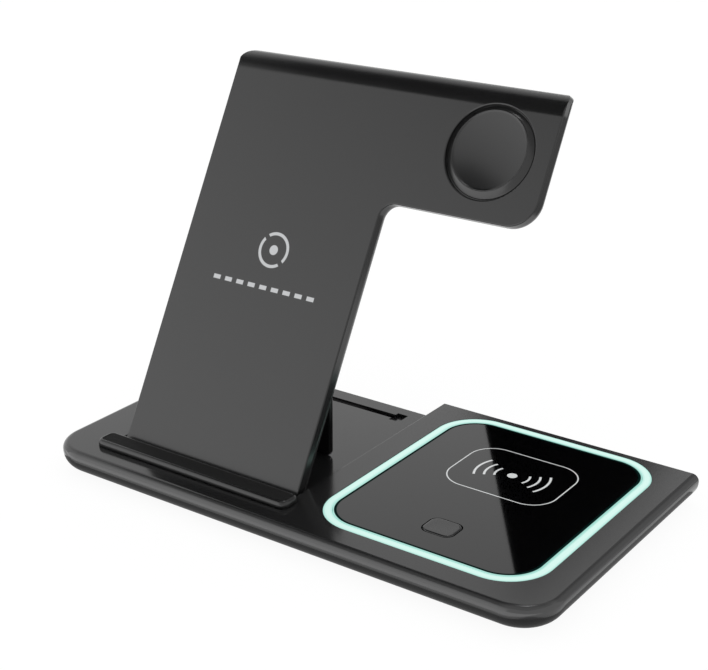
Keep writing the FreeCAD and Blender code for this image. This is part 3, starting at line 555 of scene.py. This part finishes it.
ringLens = {
    "band": 2.7 * mm,
    "corner": 14.0 * mm,
    "edge": 0.22 * mm,
    "crown": 0.05 * mm,
    "steps": 24,
    "profilePoints": 17,
    "lens": (0.02, 0.03, 0.03, 1.0),
    "roughness": 0.4,
    "roughnessSwing": 0.05,  # with the lamps below
    "glow": 1.0,
    "middleColour": (0.61, 0.86, 0.79, 1.0),
    "middleSpread": 1.5,  # above 1 the palest part is wider
    "edgeColour": (0.36, 0.70, 0.62, 1.0),
    "lampScale": 60.0,
    "lampDetail": 1.0,
    "lampSwing": 0.2,  # of the glow
    # painted shade: thin dark line at both edges of the band, where it meets its neighbours
    "gapShade": 0.035,  # as a share of half the band
    "gapShadeSoft": 0.03,
    "gapShadeColour": (0.004, 0.050, 0.044, 1.0),
}


def makeRingLens():
    # the profile is a flat bar with round upper edges and a slight crown,
    # carried along the rounded loop
    low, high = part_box("light_ring")
    band, edge = ringLens["band"], ringLens["edge"]
    across = np.linspace(0.0, 1.0, ringLens["profilePoints"])
    inset = across * band
    fromEdge = np.minimum(inset, band - inset)
    rest = np.clip(edge - fromEdge, 0.0, edge)
    drop = edge - np.sqrt(np.clip(edge ** 2 - rest ** 2, 0.0, None))
    crown = ringLens["crown"] * (1.0 - (2.0 * across - 1.0) ** 2) - ringLens["crown"]
    height = high.z - drop + crown
    # the two upright walls close the bar underneath
    inset = np.concatenate([[0.0], inset, [band]])
    height = np.concatenate([[low.z], height, [low.z]])
    points = stackLoops(low, high, ringLens["corner"], np.stack([inset, height], axis=1),
                        ringLens["steps"])
    mesh = gridMesh("lens_ring", points, closeAround=True, closeAlong=True)
    addValues(mesh, "across", np.tile(np.concatenate([[0.0], across, [1.0]]), len(points)))
    return mesh


def makeRingPaint():
    # milky lens lit from below: palest along the middle of the band
    look = ringLens
    paint = Paint("mintLens")
    middle = 1 - abs(paint.attribute("across") * 2 - 1)
    lamps = paint.noise(look["lampScale"], look["lampDetail"])
    level = (middle * look["middleSpread"] + lamps * look["lampSwing"]).least(1.0)
    colour = paint.blend(level, look["edgeColour"], look["middleColour"])
    # painted shade: the glow darkens to a thin dark line at both edges of the band
    gapShade = middle.below(look["gapShade"], look["gapShadeSoft"])
    colour = paint.blend(gapShade, colour, look["gapShadeColour"])
    return paint.surface(Base_Color=look["lens"],
                         Roughness=look["roughness"] + lamps * look["roughnessSwing"],
                         Emission_Color=colour, Emission_Strength=look["glow"])


addPiece(makeRingLens(), "base", makeRingPaint(), "ring_lens", "light_ring")
print("ring made")


# hidden and small pieces: each finish has a colour, roughness, metal, grain scale and sheen

smallLooks = {
    "rubber": ((0.009, 0.009, 0.009, 1.0), 0.75, 0.0, 900.0, 0.18),
    "chipBlack": ((0.015, 0.015, 0.016, 1.0), 0.5, 0.0, 1500.0, 0.5),
    "boardGreen": ((0.010, 0.075, 0.030, 1.0), 0.4, 0.0, 700.0, 0.5),
    "lampWhite": ((0.75, 0.85, 0.80, 1.0), 0.35, 0.0, 900.0, 0.5),
    "copperWire": ((0.60, 0.24, 0.11, 1.0), 0.35, 1.0, 2600.0, 0.5),
    "ferriteGrey": ((0.030, 0.030, 0.033, 1.0), 0.55, 0.2, 1200.0, 0.5),
    "platedSteel": ((0.55, 0.55, 0.57, 1.0), 0.28, 1.0, 1800.0, 0.5),
    "keyPlastic": ((0.010, 0.010, 0.0105, 1.0), 0.14, 0.0, 2600.0, 0.5),
    "puckPlastic": ((0.024, 0.024, 0.025, 1.0), 0.36, 0.0, 2600.0, 0.5),
}

smallGrain = {
    "detail": 2.0,
    "shade": 0.75,  # darkest, as a share of the colour
    "strength": 0.2,
    "depth": 0.02 * mm,
    "swing": 0.1,  # of the roughness
}

smallNodes = {
    "rubber": ["rubber_feet", "rest_strip"],
    "chipBlack": ["board_parts", "stand_parts", "key_switch"],
    "boardGreen": ["led_board", "main_board", "stand_board"],
    "lampWhite": ["ring_leds", "light_ring"],
    "copperWire": ["earbud_coil", "phone_coil", "watch_coil"],
    "ferriteGrey": ["earbud_shield", "phone_shield", "watch_shield"],
    "platedSteel": ["base_screws", "usb_socket", "hinge_pins", "strut_pin", "watch_magnet"],
    "keyPlastic": ["light_key"],
    "puckPlastic": ["watch_puck"],
}


def smallPaint(name):
    # one colour broken up by grain, with its roughness and a fine bump from the same grain
    colour, roughness, metal, scale, sheen = smallLooks[name]
    paint = Paint(name)
    grain = paint.noise(scale, smallGrain["detail"])
    shade = paint.blend(grain, darkened(colour, smallGrain["shade"]), colour)
    swing = smallGrain["swing"]
    paint.bump(grain, smallGrain["strength"], smallGrain["depth"])
    return paint.surface(Base_Color=shade, Roughness=roughness - swing / 2 + grain * swing,
                         Metallic=metal, Specular_IOR_Level=sheen)


for finishName, nodeNames in smallNodes.items():
    finishes[finishName] = smallPaint(finishName)
    wear(finishes[finishName], *nodeNames)
print("small pieces painted")


# watch puck: a hollow face inside a rim, with a sloping ring down to the floor of its dish

watchPuck = {
    "centre": (62.05 * mm, 107.9 * mm),
    "roomRadius": 10.8 * mm,
    "flangeRadius": 13.2 * mm,
    "wallRadius": 12.0 * mm,
    "ringRadius": 13.45 * mm,
    "rimRadius": 11.75 * mm,
    "hollowRadius": 11.45 * mm,
    "rimShift": 0.45 * mm,
    "rimHeight": 0.12 * mm,
    "flangeLow": 0.6 * mm,
    "flangeHigh": 1.2 * mm,
    "roomTop": 1.7 * mm,
    "ringFoot": 2.02 * mm,
    "ringStep": 2.14 * mm,
    "ringBend": 1.25,  # above 1 the slope is hollow
    "rimTop": 3.3 * mm,
    "hollowDepth": 1.0 * mm,
    "steps": 128,
    "ringPoints": 9,
    "rimPoints": 7,
    "hollowPoints": 25,
    "ringColour": (0.012, 0.012, 0.0122, 1.0),
    "faceColour": (0.010, 0.010, 0.0102, 1.0),
    "roughness": 0.22,
    "faceGain": 0.02,  # smoother by this on the face
    "grainScale": 2600.0,
    "grainDetail": 2.0,
    "grainSwing": 0.03,  # of the roughness
    "grainStrength": 0.12,
    "grainDepth": 0.01 * mm,
}


def makeWatchPuck():
    # the profile goes round the room behind the face, out to the flange, up the ring's slope,
    # over the rim and down the hollow, and is turned round the axis of the face;
    # the rim is shifted a little up the leg
    look = watchPuck
    wall = [(0.0, look["roomTop"]), (look["roomRadius"], look["roomTop"]),
            (look["roomRadius"], look["flangeLow"]), (look["flangeRadius"], look["flangeLow"]),
            (look["flangeRadius"], look["flangeHigh"]), (look["wallRadius"], look["flangeHigh"]),
            (look["wallRadius"], look["ringFoot"]), (look["ringRadius"], look["ringFoot"])]
    share = np.linspace(0.0, 1.0, look["ringPoints"])
    shoulder = look["rimTop"] - look["rimHeight"]
    slopeRadius = look["ringRadius"] + (look["rimRadius"] - look["ringRadius"]) * share
    slopeHeight = look["ringStep"] + (shoulder - look["ringStep"]) * share ** look["ringBend"]
    slope = np.stack([slopeRadius, slopeHeight], axis=1)
    turn = np.linspace(0.0, math.pi, look["rimPoints"] + 2)[1:-1]
    middle = (look["rimRadius"] + look["hollowRadius"]) / 2
    half = (look["rimRadius"] - look["hollowRadius"]) / 2
    rim = np.stack([middle + half * np.cos(turn),
                    shoulder + look["rimHeight"] * np.sin(turn)], axis=1)
    inward = np.linspace(1.0, 0.0, look["hollowPoints"])
    depth = look["hollowDepth"] - look["rimHeight"]
    hollow = np.stack([look["hollowRadius"] * inward,
                       shoulder - depth * (1.0 - inward ** 2)], axis=1)
    points = turnedPoints(np.concatenate([np.array(wall), slope, rim, hollow]), look["steps"])
    faceCount = len(rim) + len(hollow)
    shift = np.concatenate([np.zeros(len(wall)), share, np.ones(faceCount)]) * look["rimShift"]
    points[:, :, :2] += np.array(look["centre"])
    points[:, :, 1] += shift[None, :]
    mesh = gridMesh("puck_face", onStand(points), closeAround=True)
    zone = np.concatenate([np.zeros(len(wall) + len(slope)), np.ones(faceCount)])
    addValues(mesh, "zone", np.tile(zone, look["steps"]))
    return mergeDoubles(mesh)


def makePuckPaint():
    # satin ring and smoother face, told apart by the zone of the profile
    look = watchPuck
    paint = Paint("puckSatin")
    zone = paint.attribute("zone")
    grain = paint.noise(look["grainScale"], look["grainDetail"])
    paint.bump(grain, look["grainStrength"], look["grainDepth"])
    return paint.surface(Base_Color=paint.blend(zone, look["ringColour"], look["faceColour"]),
                         Roughness=look["roughness"] - zone * look["faceGain"]
                         + grain * look["grainSwing"])


addPiece(makeWatchPuck(), "stand", makePuckPaint(), "puck_plastic", "watch_puck")
print("watch puck made")


# key in the pad: a flanged cap with round edges and a shallow hollow

padKey = {
    "inset": 0.8 * mm,
    "corner": 2.6 * mm,
    "flangeHeight": 0.8 * mm,
    "edge": 0.5 * mm,
    "hollow": 0.04 * mm,
    "steps": 12,
    "edgePoints": 6,
    "hollowPoints": 16,
}


def makePadKey():
    # profile up the flange and the wall, round the edge, and down the hollow to the middle line,
    # carried round the cap's outline
    low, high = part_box("light_key")
    inset, edge = padKey["inset"], padKey["edge"]
    half = (high.y - low.y) / 2
    shelf = low.z + padKey["flangeHeight"]
    wall = np.array([(half, low.z), (0.0, low.z), (0.0, shelf), (inset, shelf),
                     (inset, high.z - edge)])
    bend = roundEdge((inset, high.z - edge), (inset + edge, high.z), 1, padKey["edgePoints"])[1:]
    share = np.linspace(0.0, 1.0, padKey["hollowPoints"])[1:]
    hollow = np.stack([inset + edge + (half - inset - edge) * share,
                       high.z - padKey["hollow"] * ripple(share, 0.5)], axis=1)
    points = stackLoops(low, high, padKey["corner"] + inset, np.concatenate([wall, bend, hollow]),
                        padKey["steps"])
    return mergeDoubles(gridMesh("key_cap", points, closeAround=True))


addPiece(makePadKey(), "key", finishes["keyPlastic"], "key_plastic", "light_key")
print("key made")


# ledge that the phone stands on, with a soft front edge and a bed for its strip

ledgeBar = {
    "ends": (-71.85 * mm, 0.45 * mm),
    "rows": (-40.0 * mm, -32.5 * mm),
    "corner": 2.5 * mm,
    "foot": 9.0 * mm,
    "edgeReach": 1.05 * mm,
    "edgeDrop": 1.5 * mm,
    "bedInset": 1.15 * mm,
    "bedDepth": 0.5 * mm,
    "steps": 10,
    "edgePoints": 12,
}


def makeLedgeBar():
    # profile up the wall, over a round edge and down into the bed, carried round the bar's outline
    look = ledgeBar
    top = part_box("rest_lip")[1].z
    low, high = zip(look["ends"], look["rows"])
    half = (high[1] - low[1]) / 2
    wallTop = top - look["edgeDrop"]
    bedFloor = top - look["bedDepth"]
    wall = np.array([(half, look["foot"]), (0.0, look["foot"]), (0.0, wallTop)])
    bend = roundEdge((0.0, wallTop), (look["edgeReach"], top), 1, look["edgePoints"])[1:]
    bed = np.array([(look["bedInset"], top), (look["bedInset"], bedFloor), (half, bedFloor)])
    points = stackLoops(low, high, look["corner"], np.concatenate([wall, bend, bed]), look["steps"])
    return mergeDoubles(gridMesh("ledge_bar", points, closeAround=True))


addPiece(makeLedgeBar(), "base", finishes["standPlastic"], "stand_shell", "rest_lip")
print("ledge made")


# rubber strip in the ledge, with fine ribs

gripStrip = {
    "corner": 1.2 * mm,
    "edge": 0.15 * mm,
    "ribs": 4,
    "ribDepth": 0.06 * mm,
    "steps": 8,
    "edgePoints": 5,
    "ribPoints": 10,
}


def makeGripStrip():
    # profile up the wall and round the edge, then a row of shallow waves to the middle line,
    # carried round the strip's outline
    look = gripStrip
    low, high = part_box("rest_strip")
    half = (high.y - low.y) / 2
    edge = look["edge"]
    wall = np.array([(half, low.z), (0.0, low.z), (0.0, high.z - edge)])
    bend = roundEdge((0.0, high.z - edge), (edge, high.z), 1, look["edgePoints"])[1:]
    share = np.linspace(0.0, 1.0, look["ribs"] * look["ribPoints"] + 1)[1:]
    ribs = np.stack([edge + (half - edge) * share,
                     high.z - look["ribDepth"] * ripple(share, look["ribs"])], axis=1)
    points = stackLoops(low, high, look["corner"], np.concatenate([wall, bend, ribs]),
                        look["steps"])
    return mergeDoubles(gridMesh("grip_strip", points, closeAround=True))


addPiece(makeGripStrip(), "base", finishes["rubber"], "black_rubber", "rest_strip")
print("strip made")


# screws and feet under the base, their places in mm

plateScrew = {
    "places": [(-77.5, -20.0), (-77.5, 20.0), (2.4, -20.0), (2.4, 20.0), (76.2, -38.05),
               (76.2, 41.75)],
    "headRadius": 1.8 * mm,
    "headHeight": 0.7 * mm,
    "shankRadius": 0.95 * mm,
    "tip": 0.6 * mm,
    "edge": 0.2 * mm,
    "crossHalf": 0.27 * mm,
    "crossReach": 1.15 * mm,
    "crossDepth": 0.42 * mm,
    "crossWall": 0.02 * mm,
    "steps": 96,
    "facePoints": 14,
    "edgePoints": 5,
}


def spread(points, places):
    # one copy of a grid of points at each place, as a stack of grids
    moved = np.repeat(points[None], len(places), axis=0)
    moved[..., :2] += np.array(places)[:, None, None, :] * mm
    return moved


def manyMesh(name, grids):
    # grids of points that each close on themselves, joined into one mesh
    shape = bmesh.new()
    for grid in grids:
        part = gridMesh("part", grid, closeAround=True)
        shape.from_mesh(part)
        bpy.data.meshes.remove(part)
    mesh = bpy.data.meshes.new(name)
    shape.to_mesh(mesh)
    shape.free()
    return mergeDoubles(mesh)


def makePlateScrews():
    # head and shank turned round their axis, with a cross sunk into the head
    # where either way across is near the middle
    look = plateScrew
    low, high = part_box("base_screws")
    head, edge = look["headRadius"], look["edge"]
    shank, reach = look["shankRadius"], look["crossReach"]
    radius = np.append(np.linspace(0.0, reach, look["facePoints"]), reach + look["crossWall"])
    face = np.stack([radius, np.full(len(radius), low.z)], axis=1)
    bend = roundEdge((head - edge, low.z), (head, low.z + edge), 0, look["edgePoints"])
    under = low.z + look["headHeight"]
    rest = np.array([(head, under), (shank, under), (shank, high.z - look["tip"]), (0.0, high.z)])
    points = turnedPoints(np.concatenate([face, bend, rest]), look["steps"])
    fromMiddle = np.minimum(np.abs(points[:, :, 0]), np.abs(points[:, :, 1]))
    inReach = np.arange(points.shape[1]) < look["facePoints"]
    sunk = (fromMiddle < look["crossHalf"]) & inReach[None, :]
    points[:, :, 2] += np.where(sunk, look["crossDepth"], 0.0)
    return manyMesh("plate_screws", spread(points, look["places"]))


addPiece(makePlateScrews(), "base", finishes["platedSteel"], "steel", "base_screws")

footPad = {
    "places": [(-65.6, -35.45), (-65.6, 35.45), (65.6, -35.45), (65.6, 35.45)],
    "radius": 5.0 * mm,
    "edge": 0.3 * mm,
    "grooves": 3,
    "grooveDepth": 0.18 * mm,
    "steps": 72,
    "edgePoints": 6,
    "groovePoints": 12,
}


def makeFootPads():
    # underside with round waves about its middle, a round edge, and a flat top against the plate,
    # turned round the foot's axis
    look = footPad
    low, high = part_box("rubber_feet")
    radius, edge = look["radius"], look["edge"]
    share = np.linspace(0.0, 1.0, look["grooves"] * look["groovePoints"] + 1)
    groove = ripple(share, look["grooves"]) ** 2
    under = np.stack([share * (radius - edge), low.z + look["grooveDepth"] * groove], axis=1)
    bend = roundEdge((radius - edge, low.z), (radius, low.z + edge), 0, look["edgePoints"])[1:]
    top = np.array([(radius, high.z), (0.0, high.z)])
    points = turnedPoints(np.concatenate([under, bend, top]), look["steps"])
    return manyMesh("foot_pads", spread(points, look["places"]))


addPiece(makeFootPads(), "base", finishes["rubber"], "black_rubber", "rubber_feet")
print("screws and feet made")


# tongue in the power socket, with its row of contacts

socketTongue = {
    "setback": 2.5 * mm,
    "length": 4.5 * mm,
    "half": (3.38 * mm, 0.38 * mm),
    "corner": 0.3 * mm,
    "edge": 0.2 * mm,
    "steps": 6,
    "edgePoints": 5,
    "pitch": 0.5 * mm,
    "contactWidth": 0.26 * mm,
    "contactCount": 12,
    "contactReach": (0.7 * mm, 3.2 * mm),
    "sideSoft": 0.01 * mm,
    "endSoft": 0.02 * mm,
    "black": (0.012, 0.012, 0.013, 1.0),
    "gold": (0.80, 0.52, 0.20, 1.0),
    "blackRoughness": 0.45,
    "goldGain": 0.2,  # smoother by this on the contacts
}


def tongueTip():
    # middle of the tongue's front end, set back from the mouth of the socket
    low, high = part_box("usb_socket")
    return (low.x + high.x) / 2, high.y - socketTongue["setback"], (low.z + high.z) / 2


def makeSocketTongue():
    # rounded rectangle carried inwards from the tip, with a round front edge and a closed rear
    look = socketTongue
    x, y, z = tongueTip()
    wide, thick = look["half"]
    front = roundEdge((look["edge"], 0.0), (0.0, look["edge"]), 0, look["edgePoints"])
    rear = [(0.0, look["length"]), (thick, look["length"])]
    profile = np.concatenate([[(thick, 0.0)], front, rear])
    flat = stackLoops((-wide, -thick), (wide, thick), look["corner"], profile, look["steps"])
    points = np.stack([x + flat[:, :, 0], y - flat[:, :, 2], z + flat[:, :, 1]], axis=2)
    return mergeDoubles(gridMesh("socket_tongue", points, closeAround=True), turnOut=True)


def makeTonguePaint():
    # black plastic with gold strips along the tongue, each pitch folded onto one strip
    look = socketTongue
    x, y, _ = tongueTip()
    paint = Paint("socketContacts")
    placeX, placeY, _ = paint.split(paint.place())
    side = placeX - x
    depth = y - placeY
    pitch, count = look["pitch"], look["contactCount"]
    strip = abs(side.folded(pitch, count)).below(look["contactWidth"] / 2, look["sideSoft"])
    reach = abs(side).below(pitch * count / 2, look["sideSoft"])
    near, far = look["contactReach"]
    inside = abs(depth - (near + far) / 2).below((far - near) / 2, look["endSoft"])
    gold = strip * reach * inside
    return paint.surface(Base_Color=paint.blend(gold, look["black"], look["gold"]), Metallic=gold,
                         Roughness=look["blackRoughness"] - gold * look["goldGain"])


addPiece(makeSocketTongue(), "base", makeTonguePaint(), "black_plastic")
print("socket made")


# wound coils behind the pad, the panel and the puck, in mm; a centre is in the stand's own axes

windings = {
    "coil_earbud": {
        "node": "earbud_coil", "body": "base", "centre": None,
        "outer": 19.0, "inner": 9.0, "wire": 1.2,
    },
    "coil_phone": {
        "node": "phone_coil", "body": "stand", "centre": (0.0, 60.0, 1.45),
        "outer": 21.0, "inner": 10.0, "wire": 1.1,
    },
    "coil_watch": {
        "node": "watch_coil", "body": "stand", "centre": (62.05, 107.9, 1.15),
        "outer": 10.4, "inner": 4.6, "wire": 0.7,
    },
}

windingTurn = {
    "stepsPerTurn": 40,
    "sides": 8,
    "wireShare": 0.97,  # of its room that the wire fills
}


def makeWinding(name, look):
    # round wire whose radius about the axis grows evenly with the angle,
    # closed to a point at both ends
    inner, outer, wire = look["inner"], look["outer"], look["wire"]
    turns = int((outer - inner) / wire)
    count = turns * windingTurn["stepsPerTurn"]
    share = np.linspace(0.0, 1.0, count)
    angle = share * turns * 2 * math.pi
    radius = inner + wire / 2 + (outer - inner - wire) * share
    around = np.arange(windingTurn["sides"]) * 2 * math.pi / windingTurn["sides"]
    thick = np.full(count, wire / 2 * windingTurn["wireShare"])
    thick[[0, -1]] = 0.0
    reach = radius[:, None] + thick[:, None] * np.cos(around)[None, :]
    points = np.stack([reach * np.cos(angle)[:, None], reach * np.sin(angle)[:, None],
                       thick[:, None] * np.sin(around)[None, :]], axis=2) * mm
    if look["centre"]:
        points = onStand(points + np.array(look["centre"]) * mm)
    else:
        low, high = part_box(look["node"])
        points = points + np.array((low + high) / 2)
    return mergeDoubles(gridMesh(name, points, closeAlong=True))


for windingName, windingLook in windings.items():
    addPiece(makeWinding(windingName, windingLook), windingLook["body"], finishes["copperWire"],
             "copper", windingLook["node"])
print("coils wound")


# floor and light

studio = {
    "floorSize": 8.0,
    "floorDrop": 0.1 * mm,
    "floorColour": 0.08,
    "floorRoughness": 0.9,
    "floorGlow": 0.93,
    "skyLevel": 1.0,
}

# cards that only reflections see: their corners in metres, and their level,
# which a ramp changes along a direction

cards = {
    "ceilingCard": {
        "corners": [(-1.4, -1.4, 1.6), (1.4, -1.4, 1.6), (1.4, 0.95, 1.6), (-1.4, 0.95, 1.6)],
        "level": 0.0,
        "ramp": {"along": (1.0, 0.0, 0.0), "start": -0.65, "end": -0.30, "level": 0.5},
    },
    "rearCeilingCard": {
        "corners": [(-1.4, 0.95, 1.6), (1.4, 0.95, 1.6), (1.4, 1.4, 1.6), (-1.4, 1.4, 1.6)],
        "level": 0.8,
    },
    "glassCard": {
        "corners": [(-0.5352, 0.9549, 0.407), (-0.3030, 1.0710, 0.484),
                    (-0.4716, 0.9906, 0.707), (-0.4791, 0.9869, 0.707)],
        "level": 0.0,
    },
    "rimCard": {
        "corners": [(-0.70, 1.45, 0.1), (1.6, 1.45, 0.1), (1.6, 1.45, 1.9), (-0.70, 1.45, 1.9)],
        "level": 1.12,
        "ramp": {"along": (1.0, 0.0, 0.0), "start": -0.46, "end": -0.36, "level": 0.45},
    },
    "frontCard": {
        "corners": [(-1.30, -0.486, 0.02), (0.0, -1.41, 0.02), (0.0, -1.41, 1.15),
                    (-1.30, -0.486, 1.15)],
        "level": 2.0,
        "ramp": {"along": (0.0, 0.0, 1.0), "start": 0.40, "end": 1.00, "level": 1.22},
    },
    "cornerCard": {
        "corners": [(-0.28, 0.42, 1.5), (0.02, 0.42, 1.5), (0.02, 0.74, 1.5), (-0.28, 0.74, 1.5)],
        "level": 5.0,
    },
    "frontFloorCard": {
        "corners": [(-0.7, -1.2, 0.0), (0.15, -1.2, 0.0), (0.15, -0.054, 0.0), (-0.7, -0.054, 0.0)],
        "level": 2.2,
    },
    "sideFloorCard": {
        "corners": [(0.11, 0.03, 0.0), (0.6, 0.03, 0.0), (0.6, 0.7, 0.0), (0.02, 0.7, 0.0)],
        "level": 0.35,
    },
    # dark sheet on the floor round the base, seen only in reflections: painted contact shadow
    "contactShadowCard": {
        "corners": [(-0.0896, -0.0515, 0.0), (0.0896, -0.0515, 0.0), (0.0896, 0.0515, 0.0),
                    (-0.0896, 0.0515, 0.0)],
        "level": 0.29,
    },
}


def makeQuad(name, corners, material):
    mesh = bpy.data.meshes.new(name)
    mesh.from_pydata(corners, [], [(0, 1, 2, 3)])
    mesh.materials.append(material)
    return intoScene(name, mesh)


def makeFloor():
    half, level = studio["floorSize"] / 2, -studio["floorDrop"]
    corners = [(-half, -half, level), (half, -half, level),
               (half, half, level), (-half, half, level)]
    paint = Paint("paleFloor")
    paint.surface(Base_Color=grey(studio["floorColour"]), Roughness=studio["floorRoughness"],
                  Specular_IOR_Level=0.0, Emission_Color=grey(1.0),
                  Emission_Strength=studio["floorGlow"])
    floor = makeQuad("floor", corners, paint.material)


def makeCard(name, card):
    paint = Paint(name)
    colour = grey(card["level"])
    if "ramp" in card:
        # the level changes evenly from the start to the end
        ramp = card["ramp"]
        along = paint.node("ShaderNodeVectorMath", {"operation": "DOT_PRODUCT"},
                           {0: paint.place(), 1: ramp["along"]}, "Value")
        share = (along - ramp["start"]) / (ramp["end"] - ramp["start"])
        colour = paint.blend(share.most(0.0).least(1.0), colour, grey(ramp["level"]))
    paint.surface(Base_Color=grey(0.0), Roughness=1.0, Specular_IOR_Level=0.0,
                  Emission_Color=colour, Emission_Strength=1.0)
    piece = makeQuad(name, card["corners"], paint.material)
    piece.visible_camera = False
    piece.visible_diffuse = False
    piece.visible_shadow = False


def makeWorld():
    world = bpy.data.worlds.new("studio")
    world.use_nodes = True
    background = world.node_tree.nodes["Background"]
    background.inputs["Color"].default_value = grey(1.0)
    background.inputs["Strength"].default_value = studio["skyLevel"]
    bpy.context.scene.world = world


makeFloor()
makeWorld()
for cardName, card in cards.items():
    makeCard(cardName, card)
bpy.context.scene.view_settings.view_transform = "Standard"
print("studio made")
